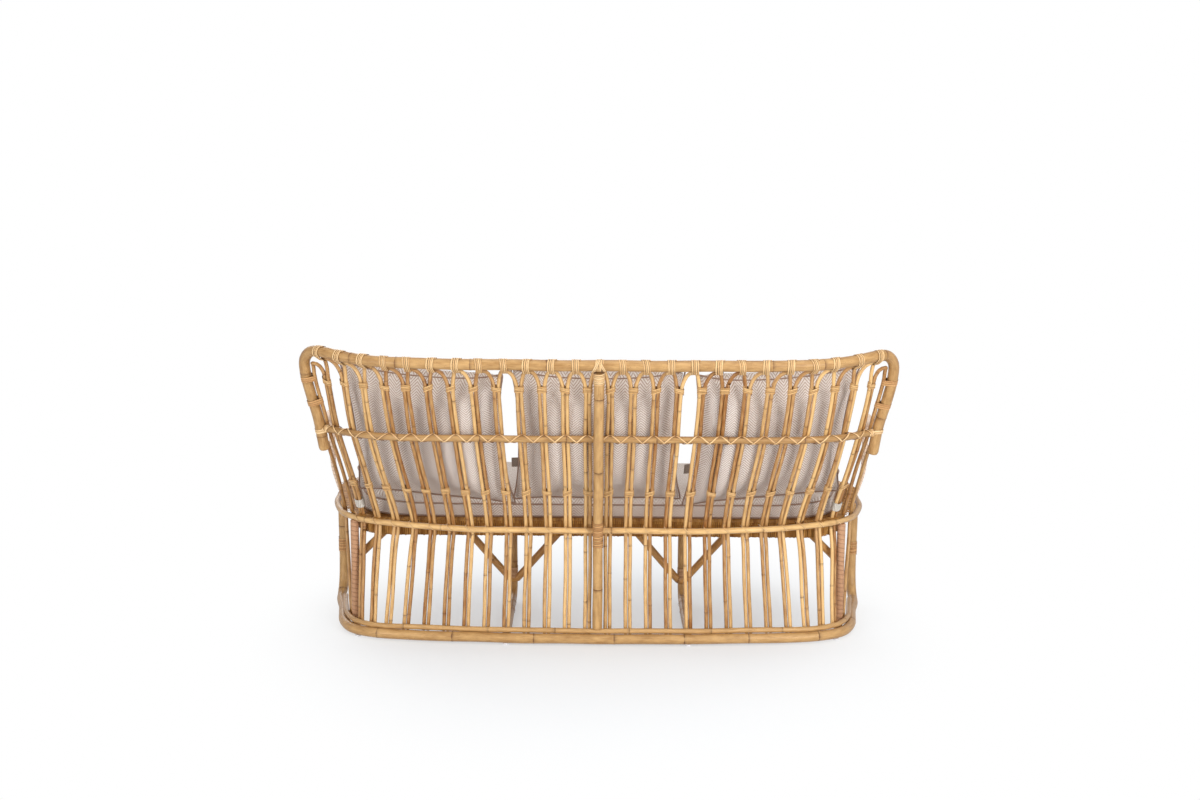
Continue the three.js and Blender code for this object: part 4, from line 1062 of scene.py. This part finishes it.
def along_edge(tree, given):
    """Points at an even spacing along a curve, facing out from it, each of its own size."""
    steps = add_node(tree, "GeometryNodeCurveToPoints",
                     {"Curve": given["Places"], "Length": given["Spacing"]}, mode="LENGTH")
    outward = add_node(tree, "ShaderNodeVectorMath", {0: steps["Tangent"], 1: given["Up"]},
                       operation="CROSS_PRODUCT")["Vector"]
    size = add_node(tree, "FunctionNodeRandomValue",
                    {0: (0.85, 0.9, 0.96), 1: (1.15, 1.05, 1.0), "Seed": given["Seed"]},
                    data_type="FLOAT_VECTOR")[0]
    own = add_node(tree, "FunctionNodeRandomValue", {"Seed": given["Seed"]})[1]
    return steps["Points"], given["Up"], outward, size, own


edge_tree = placing_tree("edge_strands", {"Spacing": "Float", "Up": "Vector"}, along_edge)
edge_mesh = set_along(bpy.data.objects.new("seat_edge", edge_curve), edge_tree, "seat_edge_strands",
                      [edge_strand(seed) for seed in range(4)], strand_peel,
                      Spacing=0.0064, Up=tuple(seat_frame.to_3x3() @ Vector((0, 0, 1))), Seed=4)
add_piece("seat_edge_strands", edge_mesh, strand_peel, smooth=False)

# Seat cushion: one long boxed cushion in pale beige twill, with piping round the top
# and the bottom of its side band. Its filling swells the cover.
twill, given = finish_group("twill", ("Warp", "Weft"), ("Threads",))
thread_u, thread_v = (way * given["Threads"] for way in map_parts(twill, "cloth"))
# The slant turns back after every ten threads, which gives the cloth its herringbone
back_and_forth = thread_u.to("FLOOR").to("PINGPONG", 10.0)
weft_over = (back_and_forth + thread_v.to("FLOOR") + 4000.0).to("MODULO", 4.0).to("LESS_THAN", 0.5)
round_u, round_v = ((way.to("FRACT") * math.pi).to("SINE") for way in (thread_u, thread_v))
thread_height = weft_over * round_v + (1.0 - weft_over) * round_u
slub = noise(twill, object_place(twill), 180.0, 2.0, 0.7)
body = colour_mix(twill, (weft_over * 0.8 + slub * 0.34).clamped(), given["Warp"], given["Weft"])
# Painted shade: the cloth is painted darker in the hollows between its threads.
add_node(twill, "NodeGroupOutput", {
    "Colour": colour_mix(twill, (1.0 - thread_height) * 0.25, body, srgb(120, 98, 84)),
    "Roughness": 0.86 + slub * 0.1,
    "Height": thread_height + slub * 0.4,
})


def cloth_finish(name, warp, weft, threads, bump, sheen=0.0):
    """Twill of two yarns, with so many threads to the metre."""
    return finish_with(name, twill, bump, sheen=sheen, Warp=srgb(*warp), Weft=srgb(*weft), Threads=threads)


beige_twill = cloth_finish("beige_twill", (255, 248, 241), (166, 122, 90), 460.0, 0.0008, 0.15)
piping_cloth = cloth_finish("piping_cloth", (176, 148, 130), (128, 96, 78), 700.0, 0.0004, 0.1)


def stuffed(name, points, faces, keep_within, pressure):
    """Lets the filling swell a cover: a short cloth run, with no point moving too far."""
    mesh = bpy.data.meshes.new(name)
    mesh.from_pydata([tuple(point) for point in points], [], faces)
    start = np.array([vertex.co[:] for vertex in mesh.vertices])
    trial = bpy.data.objects.new(name + "_trial", mesh)
    scene_objects.link(trial)
    cloth = trial.modifiers.new("filling", "CLOTH")
    for label, value in (
        ("quality", 7), ("mass", 0.3), ("tension_stiffness", 25.0), ("compression_stiffness", 8.0),
        ("shear_stiffness", 6.0), ("bending_stiffness", 0.6), ("use_pressure", True),
        ("uniform_pressure_force", pressure),
    ):
        setattr(cloth.settings, label, value)
    cloth.settings.effector_weights.gravity = 0.0
    cloth.collision_settings.use_collision = False
    last_frame = 20
    cloth.point_cache.frame_start = 1
    cloth.point_cache.frame_end = last_frame
    for number in range(1, last_frame + 1):
        bpy.context.scene.frame_set(number)
    evaluated = trial.evaluated_get(bpy.context.evaluated_depsgraph_get())
    swollen = np.array([vertex.co[:] for vertex in evaluated.data.vertices])
    bpy.context.scene.frame_set(1)
    bpy.data.objects.remove(trial)
    moved = swollen - start
    far = np.linalg.norm(moved, axis=1)
    limit = np.where(far > keep_within, keep_within / np.maximum(far, 1e-9), 1.0)
    return start + moved * limit[:, None]


def sheet(grid, side, columns, rows, width, height, turned):
    """Faces and map of one sheet of a cover, from the numbers of its points in the grid."""
    faces, maps = [], []
    for i in range(columns):
        for j in range(rows):
            places = [(i, j), (i + 1, j), (i + 1, j + 1), (i, j + 1)]
            if turned:
                places.reverse()
            faces.append(tuple(grid[(side, a, b)] for a, b in places))
            maps += [(a * width / columns, b * height / rows) for a, b in places]
    return faces, maps


def border_of(columns, rows):
    """The places along the border of a sheet, once round."""
    return ([(i, 0) for i in range(columns)] + [(columns, j) for j in range(rows)]
            + [(i, rows) for i in range(columns, 0, -1)] + [(0, j) for j in range(rows, 0, -1)])


def add_cover(name, matrix, points, faces, maps, node):
    """Puts a cover in its place, made finer by one subdivision. Gives its coarse points."""
    places = np.array([(matrix @ Vector(point))[:] for point in points])
    mesh = bpy.data.meshes.new(name)
    mesh.from_pydata([tuple(place) for place in places], [], faces)
    layer = mesh.uv_layers.new(name="cloth")
    layer.data.foreach_set("uv", np.array(maps, dtype=np.float32).ravel())
    carrier = bpy.data.objects.new(name + "_coarse", mesh)
    scene_objects.link(carrier)
    finer = carrier.modifiers.new("finer", "SUBSURF")
    finer.levels = 1
    finer.render_levels = 1
    finer.uv_smooth = "NONE"
    cover = add_piece(name, plain_mesh(carrier, name), beige_twill, node)
    return places


def add_cord(name, points, radius):
    """A closed sewn cord along the given points, with a cloth map."""
    spacing, around = 0.006, 8
    line = smooth_line(np.vstack([points, points[:1]]), spacing)[0][:-1]
    ahead = np.roll(line, -1, axis=0) - np.roll(line, 1, axis=0)
    ahead /= np.linalg.norm(ahead, axis=1)[:, None]
    turns = [step / around * 2 * math.pi for step in range(around)]
    section = [(radius * math.sin(turn), radius * math.cos(turn)) for turn in turns]
    faces, maps = swept([row * spacing for row in range(len(line) + 1)],
                        [column * 0.0016 for column in range(around + 1)], "joined", outward=True)
    mesh = new_mesh(name, rows_along(line, ahead, line - line.mean(axis=0), section), faces, maps, "cloth")
    add_piece(name, mesh, piping_cloth)


cushion_depth, cushion_edge, cushion_crown = 0.424, 0.054, 0.016
cushion_inset, cushion_lift, overhang = 0.006, 0.0005, 0.014
cloth_width, cloth_depth, band_step, band_rise = 1.5, 0.42, 0.0126, 0.011
columns, rows, band_rows = 110, 34, 5


def cushion_place(u, v, height):
    """A point of the seat cushion from its plan, -1 to 1 each way, and its height."""
    if u or v:
        angle = math.atan2(v, u)
        c, s = abs(math.cos(angle)), abs(math.sin(angle))
        rounded = (c ** 9 + s ** 9) ** (-1 / 9)
        u, v = u * rounded * max(c, s), v * rounded * max(c, s)
    forward = cushion_inset + cushion_depth / 2 * (1 - v)
    half = (seat_rear_half - cushion_inset
            + (forward - cushion_inset) / seat_depth * (seat_front_half - seat_rear_half) * 0.85)
    # The rear edge hangs over the edge of the weave a little
    hanging = max(0.0, (v - 0.9) / 0.1) ** 2
    drooping = max(0.0, (v - 0.6) / 0.4) ** 2 if height > 0 else hanging
    return half * u, overhang * hanging - forward, cushion_lift + height - overhang * drooping


def plan_place(i, j):
    return -1 + 2 * i / columns, -1 + 2 * j / rows


points, grid = [], {}
for side, level_z, crown in (("low", 0.0, 0.0), ("high", cushion_edge, cushion_crown)):
    for i in range(columns + 1):
        for j in range(rows + 1):
            u, v = plan_place(i, j)
            grid[(side, i, j)] = len(points)
            points.append(cushion_place(u, v, level_z + crown * ((1 - u ** 4) * (1 - v ** 4)) ** 0.6))
faces, maps = sheet(grid, "low", columns, rows, cloth_width, cloth_depth, True)
high_faces, high_maps = sheet(grid, "high", columns, rows, cloth_width, cloth_depth, False)
faces += high_faces
maps += high_maps
rim = border_of(columns, rows)
band = [[grid[("low", i, j)] for i, j in rim]]
for step in range(1, band_rows):
    band.append(list(range(len(points), len(points) + len(rim))))
    points += [cushion_place(*plan_place(i, j), cushion_edge * step / band_rows) for i, j in rim]
band.append([grid[("high", i, j)] for i, j in rim])
for step in range(band_rows):
    for index in range(len(rim)):
        after = (index + 1) % len(rim)
        faces.append((band[step][index], band[step][after], band[step + 1][after], band[step + 1][index]))
        u0, u1 = index * band_step, (index + 1) * band_step
        v0, v1 = step * band_rise, (step + 1) * band_rise
        maps += [(u0, v0), (u1, v0), (u1, v1), (u0, v1)]
points = stuffed("seat_cushion_cover", points, faces, 0.016, 5.0)
# The weave holds it up, but not the edge that hangs behind it
on_weave = points[:, 1] < 0.002
points[on_weave, 2] = np.maximum(points[on_weave, 2], cushion_lift)
places = add_cover("seat_cushion_cover", seat_frame, points, faces, maps, "seat_cushion")
piping_radius = 0.0028
add_cord("seat_cushion_piping_top", places[band[-1]], piping_radius)
add_cord("seat_cushion_piping_bottom", places[band[0]] + z_way * 0.002, piping_radius)

# Back cushions: square cushions with a knife edge, sewn from two faces and stuffed so
# that their sides draw in between the corners. They lean on the canes.
pillow_width, pillow_height, pillow_thick = 0.512, 0.466, 0.122
pillow_z, lean_back = 0.660, 22.5
# The share of its thickness that a cover starts with, before its filling swells it
start_thick = 0.72
crest_rise, foot_press, seam_radius = 0.034, 0.028, 0.0026
columns, rows = 44, 40
# Each one's middle across the sofa, how far its middle is behind the rear pole, and its turn
pillows = {
    "back_cushion_left": (-0.518, -0.01833, 15.0),
    "back_cushion_middle": (0.005, 0.00777, 0.0),
    "back_cushion_right": (0.518, -0.01833, -15.0),
}


def pillow_turn(name):
    """Where a back cushion stands: leant back, and turned with the curve of the canes."""
    centre, back, yaw = pillows[name]
    return (Matrix.Translation((centre, rear_pole_y + back, pillow_z))
            @ Matrix.Rotation(math.radians(yaw), 4, "Z")
            @ Matrix.Rotation(math.pi / 2 - math.radians(lean_back), 4, "X")
            @ Matrix.Rotation(-math.radians(yaw * 0.16), 4, "Z"))


def half_thickness(u, v):
    """Half the thickness of the frame's own cushion at a place, -1 to 1 each way."""
    reach = (abs(u) ** 18 + abs(v) ** 18) ** (1 / 18)
    bulge = math.sqrt(max(0.0, 1 - reach ** 2.4)) * (1 - 0.35 * (u * v) ** 2)
    return max(0.0025, bulge * pillow_thick / 2)


for seed, name in enumerate(pillows, start=70):
    dice = random.Random(seed)
    points, room, crest, foot, grid = [], [], [], [], {}
    for side in (1, -1):
        for i in range(columns + 1):
            for j in range(rows + 1):
                u, v = plan_place(i, j)
                border = i in (0, columns) or j in (0, rows)
                if border and side < 0:
                    grid[(side, i, j)] = grid[(1, i, j)]
                    continue
                grid[(side, i, j)] = len(points)
                room.append(half_thickness(u, v) + 0.0015)
                # The front face stands up over the seam along the top
                over = 0.0 if border or side < 0 else min(1.0, max(0.0, (v - 0.3) / 0.6))
                crest.append(crest_rise * over * over * (1 - u ** 4))
                # Its weight presses the bottom straight where it stands on the seat cushion
                foot.append(foot_press * min(1.0, max(0.0, (-v - 0.3) / 0.7)) ** 2 * (1 - u * u))
                points.append((u * (pillow_width / 2 - 0.012 * (1 - v * v)),
                               v * (pillow_height / 2 - 0.018 * (1 - u * u)),
                               0.0 if border else side * half_thickness(u, v) * start_thick))
    faces, maps = sheet(grid, 1, columns, rows, pillow_width, pillow_height, False)
    back_faces, back_maps = sheet(grid, -1, columns, rows, pillow_width, pillow_height, True)
    faces += back_faces
    maps += back_maps
    points = stuffed(name + "_cover", points, faces, 0.028, 4.0)
    swollen = points.max(axis=0) - points.min(axis=0)
    points *= np.array([pillow_width, pillow_height, pillow_thick]) / swollen
    # Its own dents, where the filling has shifted, and no further out than the canes let it
    turns = [dice.uniform(0, 6.28) for _ in range(3)]
    across, up = points[:, 0] / pillow_width, points[:, 1] / pillow_height
    dents = 0.05 * np.sin(across * 9 + turns[0]) * np.cos(up * 7 + turns[1])
    dents = 1.0 + dents - 0.05 * np.clip(up * 2, 0, 1)
    points[:, 2] = np.clip(points[:, 2] * dents, -np.array(room), np.array(room))
    points[:, 1] += np.array(crest) - np.array(foot)
    places = add_cover(name + "_cover", pillow_turn(name), points, faces, maps, name)
    add_cord(name + "_seam", places[[grid[(1, i, j)] for i, j in border_of(columns, rows)]], seam_radius)

# Tags: a plain folded tape sewn into the side seam of two back cushions, with nothing on
# it. It stands out of the seam beside the bottom of the cushion.
tape_cloth = cloth_finish("tape_cloth", (150, 136, 124), (112, 98, 88), 900.0, 0.0003)
tape_thick = 0.0016
edge_x = pillow_width / 2 - 0.014
tape_corners = ((edge_x - 0.008, -0.115, 0.001), (edge_x + 0.018, -0.118, 0.004),
                (edge_x + 0.018, -0.085, 0.004), (edge_x - 0.008, -0.082, 0.001))
for label in ("middle", "left"):
    turn = pillow_turn("back_cushion_" + label)
    corners = np.array([(turn @ Vector(corner))[:] for corner in tape_corners])
    normal = unit(np.cross(corners[1] - corners[0], corners[3] - corners[0])) * tape_thick / 2
    faces = [(3, 2, 1, 0), (4, 5, 6, 7), (0, 1, 5, 4), (1, 2, 6, 5), (2, 3, 7, 6), (3, 0, 4, 7)]
    vertices = np.vstack([corners - normal, corners + normal])
    maps = [(vertices[index][0] + vertices[index][1], vertices[index][2]) for face in faces for index in face]
    mesh = new_mesh("tag_" + label, vertices, faces, maps, "cloth", turn_faces=False)
    add_piece("tag_" + label, mesh, tape_cloth, smooth=False)

# Straps: a band of pale webbing at each rear corner of the seat cushion, passed round the
# nearest pair of canes and sewn back to the cushion.
webbing = cloth_finish("webbing", (226, 220, 210), (178, 166, 150), 520.0, 0.0006)
strap_height, strap_half, strap_thick, strap_steps = 0.416, 0.0135, 0.0016, 64
strap_end_x, strap_end_y = 0.735, 0.03
for side, label, inner, outer in ((1, "right", "arch_cane_26", "arch_cane_27"),
                                  (-1, "left", "arch_cane_02", "arch_cane_01")):
    a, up_a = place_at_height(inner, strap_height, label)
    b, up_b = place_at_height(outer, strap_height, "left" if side > 0 else "right")
    axis = unit(up_a + up_b)
    middle = (a + b) / 2
    along = square_to(axis, b - a)
    aside = np.cross(axis, along)
    to_cushion = np.array([side * strap_end_x, strap_end_y, strap_height]) - middle
    circles = [(-half_pair, 0, 0.0078), (half_pair, 0, 0.0078),
               (np.dot(to_cushion, along), np.dot(to_cushion, aside), 0.004)]
    outline, length = outline_round(circles, strap_steps)
    vertices = []
    for index, place in enumerate(outline):
        before, after = outline[index - 1], outline[(index + 1) % strap_steps]
        normal = unit(np.array([after[1] - before[1], before[0] - after[0]]))
        wave = 0.0012 * math.sin(index * 0.35)
        for depth, high in ((0.0, -strap_half), (strap_thick, -strap_half),
                            (strap_thick, strap_half), (0.0, strap_half)):
            spot = place + normal * depth
            vertices.append(middle + along * spot[0] + aside * spot[1] + axis * (high + wave))
    faces, maps = swept([index * length / strap_steps for index in range(strap_steps + 1)],
                        (0.0, 0.009, 0.018, 0.027, 0.0), "joined")
    mesh = new_mesh("webbing_strap", vertices, faces, maps, "cloth")
    add_piece(f"webbing_strap_{label}", mesh, webbing, smooth=False)

# Glides: plain pale plastic discs nailed under the floor pole, with a small rounding
# where they meet the floor and the pole.
glide_plastic, tree, shader = new_material("glide_plastic")
grain = noise(tree, object_place(tree), 900.0, 2.0, 0.5)
plug(tree, shader, {"Base Color": colour_mix(tree, grain, srgb(232, 231, 233), srgb(214, 212, 214)),
                    "Roughness": 0.35 + grain * 0.2})
glide_sides = 28
for name in sorted(nodes):
    if not name.startswith("glide_"):
        continue
    low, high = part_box(name)
    centre = (low + high) / 2
    profile = ((0.0078, low.z), (0.009, low.z + 0.0009), (0.009, high.z - 0.0006), (0.0084, high.z))
    vertices = []
    for radius, height in profile:
        for step in range(glide_sides):
            angle = step / glide_sides * 2 * math.pi
            place = centre.x + radius * math.cos(angle), centre.y + radius * math.sin(angle)
            vertices.append((*place, height))
    vertices += [(centre.x, centre.y, low.z), (centre.x, centre.y, high.z)]
    faces, _ = swept(range(4), range(glide_sides + 1), "fan", outward=True)
    mesh = new_mesh(name + "_disc", vertices, faces)
    add_piece(name + "_disc", mesh, glide_plastic, name, smooth=False)
